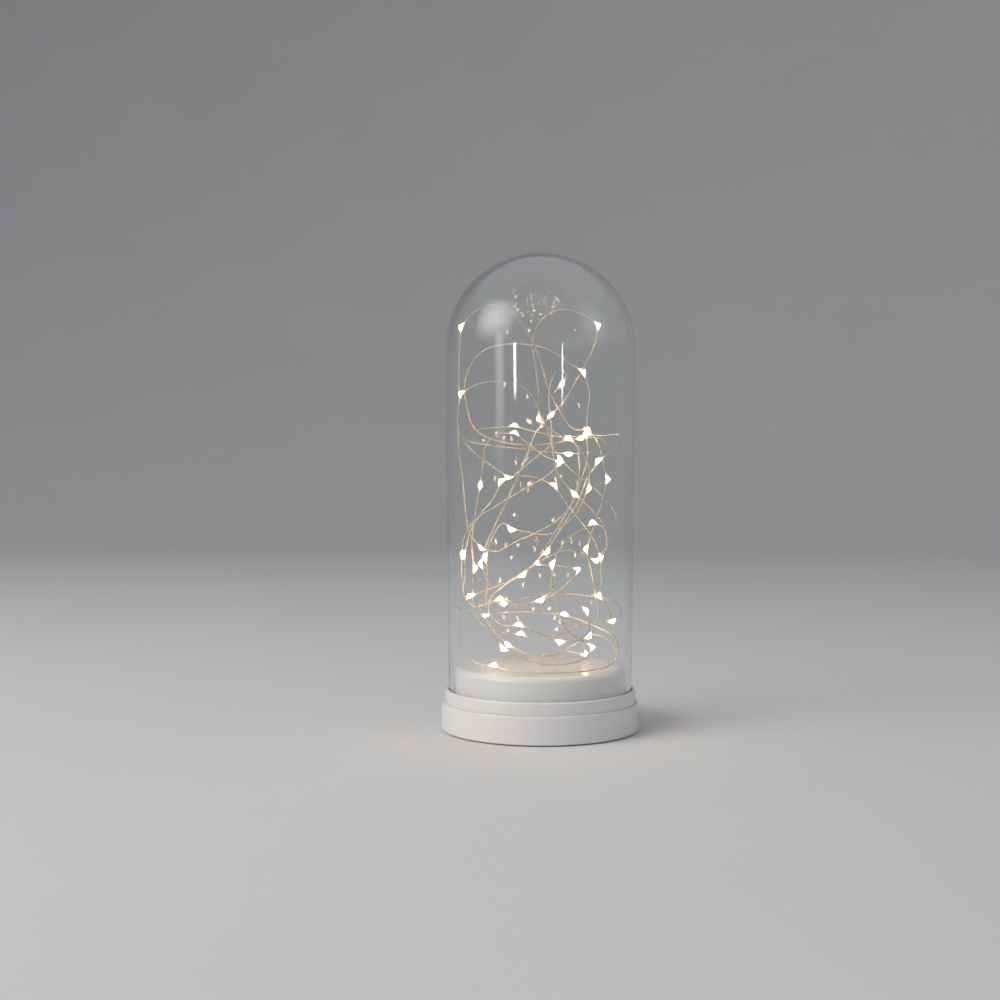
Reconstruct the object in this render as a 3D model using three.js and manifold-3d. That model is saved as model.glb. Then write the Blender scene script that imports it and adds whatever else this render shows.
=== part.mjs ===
import * as THREE from 'three';
import { mergeVertices } from 'three/addons/utils/BufferGeometryUtils.js';
import Module from 'manifold-3d';

const wasm = await Module();
wasm.setup();

// A battery lit glass cloche. Origin: centre of the rest plane. +Z up, front at -Y. Millimetres.

// Driving dimensions: the height over all, the radius of the skirt, and the steps in from it to
// the rim ring, the glass and the drum
const overallHeight = 239.4;
const skirtRadius = 50;
const skirtStep = 1.8;
const rimRingWidth = 2;
const glassWall = 2.3;
const glassFlare = 1.6;
const glassToDrum = 0.9;
const rimRingRadius = skirtRadius - skirtStep;
const glassRimRadius = rimRingRadius - rimRingWidth;
const glassShoulderRadius = glassRimRadius + glassFlare;
const drumRadius = glassRimRadius - glassWall - glassToDrum;

// White mouldings
const footDrop = 0.6;
const skirtDraft = 0.5;
const shoulderHeight = 14.2;
const rimRingHeight = 20.6;
const grooveDepth = 4;
const drumHeight = 32;
const drumEdgeRadius = 3;
const edgeRadius = 0.8;
const wall = 2;
const seamGap = 0.3;
const runningGap = 0.3;
const overrun = 1;

// Battery bay, for three cells side by side, with their springs at one end
const cellRadius = 7.25;
const cellLength = 49.5;
const cellTipRadius = 2.75;
const cellTipLength = 1;
const cellBevel = 0.6;
const cellCount = 3;
const cellGap = 0.6;
const springLength = 4.6;
const springWire = 0.6;
const springRadius = 2.6;
const springCurls = 4;
const contactThickness = 0.5;
const contactWidth = 9;
const contactTab = 3;
const contactTabRise = 2;
const bayMargin = 0.6;
const bayWall = 1.8;

// Floor, battery door and slide switch
const floorHeight = 2.2;
const floorThickness = 2;
const doorGap = 0.4;
const doorLap = 0.5;
const doorPinRadius = 0.8;
const doorPinLength = 1.6;
const thumbNotchRadius = 6;
const thumbNotchDepth = 0.9;
const switchTravel = 2;
const switchSlotLength = 9;
const switchSlotWidth = 4;
const sliderStem = 2.4;
const switchBodyLength = 12.5;
const switchBodyWidth = 6.4;
const switchBodyHeight = 4;

// Circuit board and what it carries
const boardLength = 24;
const boardWidth = 13;
const boardThickness = 1.4;
const boardInset = 9;
const boardX = drumRadius - boardInset;
const chipLength = 6;
const chipWidth = 4;
const chipHeight = 1.6;
const capacitorRadius = 2.5;
const capacitorHeight = 7;

// Screws, their posts and the feet
const screwInset = 10;
const screwX = drumRadius - screwInset;
const screwY = 18;
const screwShankRadius = 1.4;
const screwHeadRadius = 2.6;
const screwHeadHeight = 1.8;
const screwLength = 12;
const screwSlotWidth = 0.7;
const screwSlotDepth = 0.8;
const screwSlotReach = 1.8;
const postRadius = 4.4;
const bossRadius = 3;
const postHeight = 12;
const footRadius = 3.5;
const footInset = 0.8;
const footEdgeInset = 8;
const footPlace = skirtRadius - footEdgeInset;

// String of lights and its lead
const wireRadius = 0.45;
const beadRadius = 1.7;
const beadLength = 6;
const wireStep = 8;
const leadRadius = 0.8;
const singleLeadRadius = 0.6;
const leadBend = 4.5;
const holeRadius = 2.6;
const grommetFlange = 4;
const grommetFlangeHeight = 0.7;
const grommetBore = 1.1;

// The glass and the plinth that the string's route was laid in
const routeGlassRadius = 46.2;
const routeDomeHeight = 239.4;
const routePlinthHeight = 32;

// Facets
const roundFacets = 40;
const smallFacets = 12;
const arcSteps = 4;
const edgeSteps = 3;
const domeSteps = 10;
const wireSides = 6;
const curveStepsPerPoint = 8;
const springStepsPerTurn = 8;
const springSides = 5;
const leadStepsPerCorner = 4;
const mergeDistance = 0.0001;

const group = new THREE.Group();

const finishes = {
  glass: { color: 0xeef4f2, roughness: 0.03, metalness: 0, transparent: true, opacity: 0.3 },
  whitePlastic: { color: 0xd9d6d2, roughness: 0.3, metalness: 0 },
  cellSleeve: { color: 0x3d4a55, roughness: 0.4, metalness: 0.2 },
  springSteel: { color: 0xb9bcbf, roughness: 0.3, metalness: 0.9 },
  circuitBoard: { color: 0x2f6b45, roughness: 0.5, metalness: 0 },
  blackPlastic: { color: 0x1e1f21, roughness: 0.45, metalness: 0 },
  rubber: { color: 0xb8b8b5, roughness: 0.8, metalness: 0 },
  screwSteel: { color: 0x8d9195, roughness: 0.35, metalness: 0.9 },
  redLead: { color: 0xa32820, roughness: 0.5, metalness: 0 },
  copperWire: { color: 0xc79a6b, roughness: 0.35, metalness: 0.8 },
};

// Closed solids from three.js geometry, and back to a named mesh

function solidOf(geometry) {
  const bare = geometry.clone();
  bare.deleteAttribute('normal');
  bare.deleteAttribute('uv');
  const merged = mergeVertices(bare, mergeDistance);
  const corners = merged.attributes.position;
  const index = merged.index.array;
  const triangles = [];
  let volume = 0;
  const a = new THREE.Vector3();
  const b = new THREE.Vector3();
  const c = new THREE.Vector3();
  for (let i = 0; i < index.length; i += 3) {
    const [p, q, r] = [index[i], index[i + 1], index[i + 2]];
    if (p === q || q === r || r === p) continue;
    triangles.push(p, q, r);
    a.fromBufferAttribute(corners, p);
    b.fromBufferAttribute(corners, q);
    c.fromBufferAttribute(corners, r);
    volume += a.dot(b.cross(c));
  }
  if (volume < 0) triangles.reverse();
  const mesh = new wasm.Mesh({
    numProp: 3,
    vertProperties: new Float32Array(corners.array),
    triVerts: new Uint32Array(triangles),
  });
  return new wasm.Manifold(mesh);
}

function addPiece(name, solid, finish) {
  const mesh = solid.getMesh();
  const geometry = new THREE.BufferGeometry();
  geometry.setAttribute('position', new THREE.BufferAttribute(mesh.vertProperties, 3));
  geometry.setIndex(new THREE.BufferAttribute(mesh.triVerts, 1));
  geometry.computeVertexNormals();
  const piece = new THREE.Mesh(geometry, new THREE.MeshStandardMaterial(finishes[finish]));
  piece.name = name;
  group.add(piece);
  return piece;
}

// A turned solid: the profile is a list of [radius, height]
function turned(profile, facets = roundFacets) {
  const points = profile.map(([radius, height]) => new THREE.Vector2(radius, height));
  const lathe = new THREE.LatheGeometry(points, facets);
  lathe.rotateX(Math.PI / 2);
  return solidOf(lathe);
}

function rod(radius, bottom, top, x = 0, y = 0, facets = smallFacets) {
  const rodGeometry = new THREE.CylinderGeometry(radius, radius, top - bottom, facets);
  rodGeometry.rotateX(Math.PI / 2);
  rodGeometry.translate(x, y, (top + bottom) / 2);
  return solidOf(rodGeometry);
}

// A block between two corners
function block([x0, y0, z0], [x1, y1, z1]) {
  const box = new THREE.BoxGeometry(x1 - x0, y1 - y0, z1 - z0);
  box.translate((x0 + x1) / 2, (y0 + y1) / 2, (z0 + z1) / 2);
  return solidOf(box);
}

// Points of an arc in a profile, from one angle to another
function arc(centreRadius, centreHeight, radius, from, to, steps = arcSteps) {
  return Array.from({ length: steps + 1 }, (unused, i) => {
    const angle = from + ((to - from) * i) / steps;
    return [centreRadius + radius * Math.cos(angle), centreHeight + radius * Math.sin(angle)];
  });
}

// A round tube through rings of given radius, closed at both ends
function tubeThrough(rings, sides) {
  const positions = [];
  const index = [];
  const tangentAt = (i) => {
    const before = rings[Math.max(i - 1, 0)].point;
    const after = rings[Math.min(i + 1, rings.length - 1)].point;
    return new THREE.Vector3().subVectors(after, before).normalize();
  };
  const first = tangentAt(0);
  const across = Math.abs(first.z) > Math.abs(first.x) ? [1, 0, 0] : [0, 0, 1];
  let side = new THREE.Vector3(...across).cross(first).normalize();
  rings.forEach(({ point, radius }, i) => {
    const tangent = tangentAt(i);
    side = side.addScaledVector(tangent, -side.dot(tangent)).normalize();
    const up = new THREE.Vector3().crossVectors(tangent, side);
    for (let k = 0; k < sides; k += 1) {
      const angle = (2 * Math.PI * k) / sides;
      const corner = point.clone().addScaledVector(side, radius * Math.cos(angle));
      corner.addScaledVector(up, radius * Math.sin(angle));
      positions.push(corner.x, corner.y, corner.z);
    }
  });
  for (let i = 0; i + 1 < rings.length; i += 1) {
    for (let k = 0; k < sides; k += 1) {
      const a = i * sides + k;
      const b = i * sides + ((k + 1) % sides);
      index.push(a, b, a + sides, b, b + sides, a + sides);
    }
  }
  const last = (rings.length - 1) * sides;
  for (let k = 1; k + 1 < sides; k += 1) {
    index.push(0, k + 1, k);
    index.push(last, last + k, last + k + 1);
  }
  const geometry = new THREE.BufferGeometry();
  geometry.setAttribute('position', new THREE.Float32BufferAttribute(positions, 3));
  geometry.setIndex(index);
  return solidOf(geometry);
}

// Glass dome: one wall of even thickness, a straight tube under a half sphere, its lip rounded.
// The tube narrows a little towards the rim, as blown glass does.

const grooveFloor = rimRingHeight - grooveDepth;
const glassRimHeight = grooveFloor + runningGap;
const sphereHeight = overallHeight - glassShoulderRadius;
const lip = glassWall / 2;
const quarter = Math.PI / 2;
const glassProfile = [
  ...arc(glassRimRadius - lip, glassRimHeight + lip, lip, -Math.PI, 0),
  ...arc(0, sphereHeight, glassShoulderRadius, 0, quarter, domeSteps),
  ...arc(0, sphereHeight, glassShoulderRadius - glassWall, quarter, 0, domeSteps),
];
glassProfile.push(glassProfile[0]);
addPiece('glass_dome', turned(glassProfile), 'glass');

// Plinth housing: the drum, the groove that holds the glass, and the rim ring, with four bosses
// under the top and a short spigot that centres it in the skirt.

const ringBottom = shoulderHeight + seamGap;
const ringInner = glassRimRadius + runningGap;
const spigotOuter = rimRingRadius - wall;
const spigotDepth = 3;
const corners = [[1, 1], [-1, 1], [-1, -1], [1, -1]];
const boltPlaces = corners.map(([sideX, sideY]) => [sideX * screwX, sideY * screwY]);
const housingProfile = [
  [spigotOuter - wall, ringBottom - spigotDepth],
  [spigotOuter, ringBottom - spigotDepth],
  [spigotOuter, ringBottom],
  [rimRingRadius, ringBottom],
  ...arc(rimRingRadius - edgeRadius, rimRingHeight - edgeRadius, edgeRadius, 0, quarter, edgeSteps),
  [ringInner, rimRingHeight],
  [ringInner, grooveFloor],
  [drumRadius, grooveFloor],
  ...arc(drumRadius - drumEdgeRadius, drumHeight - drumEdgeRadius, drumEdgeRadius, 0, quarter),
  [holeRadius, drumHeight],
  [holeRadius, drumHeight - wall],
  [drumRadius - drumEdgeRadius, drumHeight - wall],
  [drumRadius - wall, drumHeight - drumEdgeRadius],
  [drumRadius - wall, grooveFloor - wall],
  [spigotOuter - wall, grooveFloor - wall],
  [spigotOuter - wall, ringBottom - spigotDepth],
];
const bossBottom = postHeight + seamGap;
const pilotRadius = screwShankRadius + runningGap;
const screwHeadSeat = floorHeight + floorThickness + runningGap + screwHeadHeight;
const screwTip = screwHeadSeat + screwLength;
let plinthHousing = turned(housingProfile);
for (const [x, y] of boltPlaces) {
  plinthHousing = plinthHousing.add(rod(bossRadius, bossBottom, drumHeight - wall / 2, x, y));
  plinthHousing = plinthHousing.subtract(
    rod(pilotRadius, bossBottom - overrun, screwTip + overrun, x, y),
  );
}
addPiece('plinth_housing', plinthHousing, 'whitePlastic');

// Base housing: the drafted skirt and its shoulder, a floor with the battery bay standing on it,
// four screw posts, the switch slot, and shallow seats for the feet.

const bayHalfWidth = cellCount * cellRadius + ((cellCount - 1) * cellGap) / 2 + bayMargin;
const contactDepth = contactThickness + runningGap;
const bayHalfLength = (cellLength + cellTipLength + springLength) / 2 + contactDepth + runningGap;
const floorTop = floorHeight + floorThickness;
const cellHeight = floorTop + bayMargin + cellRadius;
const bayTop = cellHeight + cellRadius + runningGap;
const pinAxisHeight = floorHeight + floorThickness / 2;
const doorHalfWidth = bayHalfWidth + doorLap;
const doorRound = floorThickness / 2;
const doorBack = bayHalfLength;
const doorFront = -bayHalfLength - doorLap;
const openingHalfWidth = doorHalfWidth + doorGap;
const pinAxisY = doorBack - doorRound;
const skirtTopRadius = skirtRadius - skirtDraft;
const skirtInner = skirtTopRadius - wall;
const shoulderInner = spigotOuter + runningGap;
const skirtProfile = [
  [0, floorHeight],
  [skirtInner - wall, floorHeight],
  [skirtRadius - wall, footDrop],
  [skirtRadius, footDrop],
  ...arc(
    skirtTopRadius - edgeRadius, shoulderHeight - edgeRadius, edgeRadius, 0, quarter, edgeSteps,
  ),
  [shoulderInner, shoulderHeight],
  [shoulderInner, shoulderHeight - wall],
  [skirtInner, shoulderHeight - wall - overrun],
  [skirtInner, floorTop],
  [0, floorTop],
];
const bayOuterX = bayHalfWidth + bayWall;
const bayOuterY = bayHalfLength + bayWall;
const counterboreRadius = screwHeadRadius + runningGap;
const footSeatTop = floorHeight + footInset;
const footPlaces = [0.25, 0.75, 1.25, 1.75].map((turn) => {
  const angle = turn * Math.PI;
  return [footPlace * Math.cos(angle), footPlace * Math.sin(angle)];
});
let baseHousing = turned(skirtProfile);
baseHousing = baseHousing.add(
  block([-bayOuterX, -bayOuterY, floorHeight], [bayOuterX, bayOuterY, bayTop + bayWall]),
);
for (const [x, y] of boltPlaces) {
  baseHousing = baseHousing.add(rod(postRadius, floorHeight, postHeight, x, y));
}
baseHousing = baseHousing.subtract(
  block([-bayHalfWidth, -bayHalfLength, floorTop - overrun], [bayHalfWidth, bayHalfLength, bayTop]),
);
baseHousing = baseHousing.subtract(
  block(
    [-openingHalfWidth, doorFront - doorGap, floorHeight - overrun],
    [openingHalfWidth, doorBack + doorGap, floorTop],
  ),
);
const thumbNotch = rod(
  thumbNotchRadius, floorHeight - overrun, floorHeight + thumbNotchDepth, 0, doorFront,
);
baseHousing = baseHousing.subtract(thumbNotch);
const pinSlot = doorPinRadius + runningGap;
const pinReach = openingHalfWidth + doorPinLength;
baseHousing = baseHousing.subtract(
  block(
    [-pinReach, pinAxisY - pinSlot, pinAxisHeight - pinSlot],
    [pinReach, pinAxisY + pinSlot, pinAxisHeight + pinSlot],
  ),
);
for (const [x, y] of boltPlaces) {
  baseHousing = baseHousing.subtract(
    rod(counterboreRadius, floorHeight - overrun, screwHeadSeat, x, y),
  );
  baseHousing = baseHousing.subtract(
    rod(pilotRadius, floorHeight - overrun, postHeight + overrun, x, y),
  );
}
for (const [x, y] of footPlaces) {
  baseHousing = baseHousing.subtract(
    rod(footRadius + runningGap, floorHeight - overrun, footSeatTop, x, y),
  );
}
const contactOut = bayHalfLength - runningGap;
const contactIn = contactOut - contactThickness;
const cellPitch = 2 * cellRadius + cellGap;
const tabHalf = contactTab / 2;
const tabTop = bayTop + bayWall + contactTabRise;
for (const end of [-1, 1]) {
  const [y0, y1] = end > 0 ? [contactIn, contactOut] : [-contactOut, -contactIn];
  const slotX = end * cellPitch;
  const slotHalf = tabHalf + runningGap;
  baseHousing = baseHousing.subtract(
    block(
      [slotX - slotHalf, y0 - runningGap, bayTop - overrun],
      [slotX + slotHalf, y1 + runningGap, tabTop],
    ),
  );
}
const slotHalfLength = switchSlotLength / 2;
const slotHalfWidth = switchSlotWidth / 2;
baseHousing = baseHousing.subtract(
  block(
    [boardX - slotHalfWidth, -slotHalfLength, floorHeight - overrun],
    [boardX + slotHalfWidth, slotHalfLength, floorTop + overrun],
  ),
);
addPiece('base_housing', baseHousing, 'whitePlastic');

// Battery door: a plate whose back edge is round about its two snap-in pins, with a thumb notch.

let batteryDoor = block(
  [-doorHalfWidth, doorFront, floorHeight],
  [doorHalfWidth, pinAxisY, floorTop],
);
const hingeRound = new THREE.CylinderGeometry(doorRound, doorRound, 2 * doorHalfWidth, smallFacets);
hingeRound.rotateZ(quarter);
hingeRound.translate(0, pinAxisY, pinAxisHeight);
batteryDoor = batteryDoor.add(solidOf(hingeRound));
const pinLength = 2 * (doorHalfWidth + doorPinLength);
const hingePins = new THREE.CylinderGeometry(doorPinRadius, doorPinRadius, pinLength, smallFacets);
hingePins.rotateZ(quarter);
hingePins.translate(0, pinAxisY, pinAxisHeight);
batteryDoor = batteryDoor.add(solidOf(hingePins));
batteryDoor = batteryDoor.subtract(thumbNotch);
addPiece('battery_door', batteryDoor, 'whitePlastic');

// Cells, alternate ones turned end for end, each with a conical spring at its flat end

const cellLine = (cellLength + cellTipLength + springLength) / 2;
const cellProfile = [
  [0, 0],
  [cellRadius - cellBevel, 0],
  [cellRadius, cellBevel],
  [cellRadius, cellLength - cellBevel],
  [cellRadius - cellBevel, cellLength],
  [cellTipRadius, cellLength],
  [cellTipRadius, cellLength + cellTipLength],
  [0, cellLength + cellTipLength],
];

function springRings(flip) {
  const rings = [];
  const steps = springCurls * springStepsPerTurn;
  const rise = springLength - 2 * springWire - 2 * runningGap;
  for (let i = 0; i <= steps; i += 1) {
    const share = i / steps;
    const angle = 2 * Math.PI * springCurls * share;
    const radius = springRadius * (1 - share / 3);
    const along = springWire / 2 + runningGap + springWire / 2 + rise * share;
    rings.push({
      point: new THREE.Vector3(
        radius * Math.cos(angle), flip * (-cellLine + along), radius * Math.sin(angle),
      ),
      radius: springWire / 2,
    });
  }
  return rings;
}

for (let i = 0; i < cellCount; i += 1) {
  const flip = i % 2 ? -1 : 1;
  const x = (i - (cellCount - 1) / 2) * cellPitch;
  const cell = addPiece(`battery_${i + 1}`, turned(cellProfile, 2 * smallFacets), 'cellSleeve');
  cell.rotation.x = -flip * quarter;
  cell.position.set(x, flip * (-cellLine + springLength), cellHeight);
  const spring = addPiece(
    `contact_spring_${i + 1}`, tubeThrough(springRings(flip), springSides), 'springSteel',
  );
  spring.position.set(x, 0, cellHeight);
}

// Contact plates: single ones at the two ends of the chain, bridges between neighbouring cells

function contactPlate(xFrom, xTo, end) {
  const [y0, y1] = end > 0 ? [contactIn, contactOut] : [-contactOut, -contactIn];
  const half = contactWidth / 2;
  return block([xFrom - half, y0, cellHeight - half], [xTo + half, y1, cellHeight + half]);
}

// The single plates have a solder tab that passes through the bay's roof
function tabbedPlate(end) {
  const [y0, y1] = end > 0 ? [contactIn, contactOut] : [-contactOut, -contactIn];
  const x = end * cellPitch;
  return contactPlate(x, x, end).add(
    block([x - tabHalf, y0, cellHeight], [x + tabHalf, y1, tabTop - contactTabRise / 4]),
  );
}

addPiece('contact_negative', tabbedPlate(-1), 'springSteel');
addPiece('contact_bridge_back', contactPlate(-cellPitch, 0, 1), 'springSteel');
addPiece('contact_bridge_front', contactPlate(0, cellPitch, -1), 'springSteel');
addPiece('contact_positive', tabbedPlate(1), 'springSteel');

// Slide switch under the circuit board: the body stands on the floor, the slider passes its slot

const sliderFlange = floorTop + runningGap;
const sliderFlangeHeight = 1.2;
const switchBottom = sliderFlange + sliderFlangeHeight + runningGap;
const switchTop = switchBottom + switchBodyHeight;
const sliderHalfStem = sliderStem / 2;
const sliderFlangeHalf = slotHalfLength + switchTravel / 2;
const sliderRest = -switchTravel;
let slider = block(
  [boardX - sliderHalfStem, sliderRest - sliderHalfStem, footDrop + runningGap],
  [boardX + sliderHalfStem, sliderRest + sliderHalfStem, sliderFlange + sliderFlangeHeight],
);
slider = slider.add(
  block(
    [boardX - slotHalfWidth, sliderRest - slotHalfWidth, sliderFlange],
    [boardX + slotHalfWidth, sliderRest + slotHalfWidth, sliderFlange + sliderFlangeHeight],
  ),
);
addPiece('switch_slider', slider, 'blackPlastic');

let switchBody = block(
  [boardX - switchBodyWidth / 2, -switchBodyLength / 2, floorTop],
  [boardX + switchBodyWidth / 2, switchBodyLength / 2, switchTop],
);
switchBody = switchBody.subtract(
  block(
    [boardX - slotHalfWidth - runningGap, -sliderFlangeHalf, floorTop - overrun],
    [boardX + slotHalfWidth + runningGap, sliderFlangeHalf, switchBottom],
  ),
);
addPiece('switch_body', switchBody, 'blackPlastic');

const boardBottom = switchTop;
const boardTop = boardBottom + boardThickness;
const board = block(
  [boardX - boardWidth / 2, -boardLength / 2, boardBottom],
  [boardX + boardWidth / 2, boardLength / 2, boardTop],
);
addPiece('circuit_board', board, 'circuitBoard');
addPiece(
  'timer_chip',
  block(
    [boardX - chipWidth / 2, -chipLength / 2, boardTop],
    [boardX + chipWidth / 2, chipLength / 2, boardTop + chipHeight],
  ),
  'blackPlastic',
);
const capacitorY = boardLength / 2 - boardWidth / 4;
addPiece(
  'capacitor',
  rod(capacitorRadius, boardTop, boardTop + capacitorHeight, boardX, capacitorY),
  'cellSleeve',
);

// Grommet in the plinth's hole, and the lead that comes up through it from the board

const grommetTop = drumHeight + grommetFlangeHeight;
addPiece(
  'wire_grommet',
  turned(
    [
      [grommetBore, drumHeight - wall - grommetFlangeHeight],
      [holeRadius - runningGap, drumHeight - wall - grommetFlangeHeight],
      [holeRadius - runningGap, drumHeight],
      [grommetFlange, drumHeight],
      [grommetFlange - grommetFlangeHeight / 2, grommetTop],
      [grommetBore, grommetTop],
      [grommetBore, drumHeight - wall - grommetFlangeHeight],
    ],
    smallFacets,
  ),
  'rubber',
);

// A round lead laid along hand-set corners, bent smoothly
function lead(name, corners, radius, finish) {
  const points = corners.map(([x, y, z]) => new THREE.Vector3(x, y, z));
  const curve = new THREE.CatmullRomCurve3(points, false, 'centripetal');
  const steps = leadStepsPerCorner * (corners.length - 1);
  const rings = curve.getPoints(steps).map((point) => ({ point, radius }));
  addPiece(name, tubeThrough(rings, wireSides), finish);
}

const leadRise = bayTop + bayWall + leadRadius + runningGap;
const leadStart = boardTop + runningGap;
const leadX = boardX - boardWidth / 3;
const leadY = -boardLength / 3;
lead(
  'string_lead',
  [
    [leadX, leadY, leadStart],
    [leadX, leadY, (leadStart + leadRise) / 2],
    [leadX - leadBend, leadY, leadRise + leadRadius],
    [leadX / 2, leadY / 2, leadRise + leadRadius],
    [leadRadius, 0, leadRise + 3 * leadRadius],
    [0, 0, drumHeight - wall],
    [0, 0, grommetTop],
  ],
  leadRadius,
  'rubber',
);

// Battery leads run from the board over the bay's roof to the single contacts' solder tabs

const leadLevel = tabTop - contactTabRise / 2;
for (const end of [-1, 1]) {
  const tabY = end * (contactIn - runningGap);
  const startY = end * (boardLength / 2 - leadRadius);
  lead(
    end > 0 ? 'lead_positive' : 'lead_negative',
    [
      [leadX, startY, leadStart],
      [leadX, startY, (leadStart + leadLevel) / 2],
      [leadX - leadBend, startY + (end * leadBend) / 2, leadLevel],
      [end * cellPitch + contactTab, tabY - 2 * end * contactTab, leadLevel],
      [end * cellPitch, tabY - end * contactTab, leadLevel],
      [end * cellPitch, tabY, leadLevel],
    ],
    singleLeadRadius,
    end > 0 ? 'redLead' : 'blackPlastic',
  );
}

// Housing screws and feet

const screwProfile = [
  [0, 0],
  [screwHeadRadius - screwSlotDepth / 2, 0],
  [screwHeadRadius, screwSlotDepth],
  [screwHeadRadius, screwHeadHeight],
  [screwShankRadius, screwHeadHeight],
  [screwShankRadius, screwHeadHeight + screwLength - screwShankRadius],
  [screwShankRadius / 4, screwHeadHeight + screwLength],
  [0, screwHeadHeight + screwLength],
];
boltPlaces.forEach(([x, y], i) => {
  let screw = turned(screwProfile, smallFacets);
  const half = screwSlotWidth / 2;
  for (const [reachX, reachY] of [[screwSlotReach, half], [half, screwSlotReach]]) {
    screw = screw.subtract(block([-reachX, -reachY, -overrun], [reachX, reachY, screwSlotDepth]));
  }
  const piece = addPiece(`housing_screw_${i + 1}`, screw, 'screwSteel');
  piece.position.set(x, y, screwHeadSeat - screwHeadHeight - runningGap);
});

const footBevel = footDrop / 2;
const footHeight = footSeatTop - runningGap / 3;
const footProfile = [
  [0, 0],
  [footRadius - footBevel, 0],
  [footRadius, footBevel],
  [footRadius, footHeight],
  [0, footHeight],
];
footPlaces.forEach(([x, y], i) => {
  const foot = addPiece(`foot_${i + 1}`, turned(footProfile, smallFacets), 'rubber');
  foot.position.set(x, y, 0);
});

// String of lights: one unbroken wire that swells into a clear drop at each light. It leaves the
// grommet, and its loose route was laid by hand: x, y and z in millimetres, with led at a light.

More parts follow.
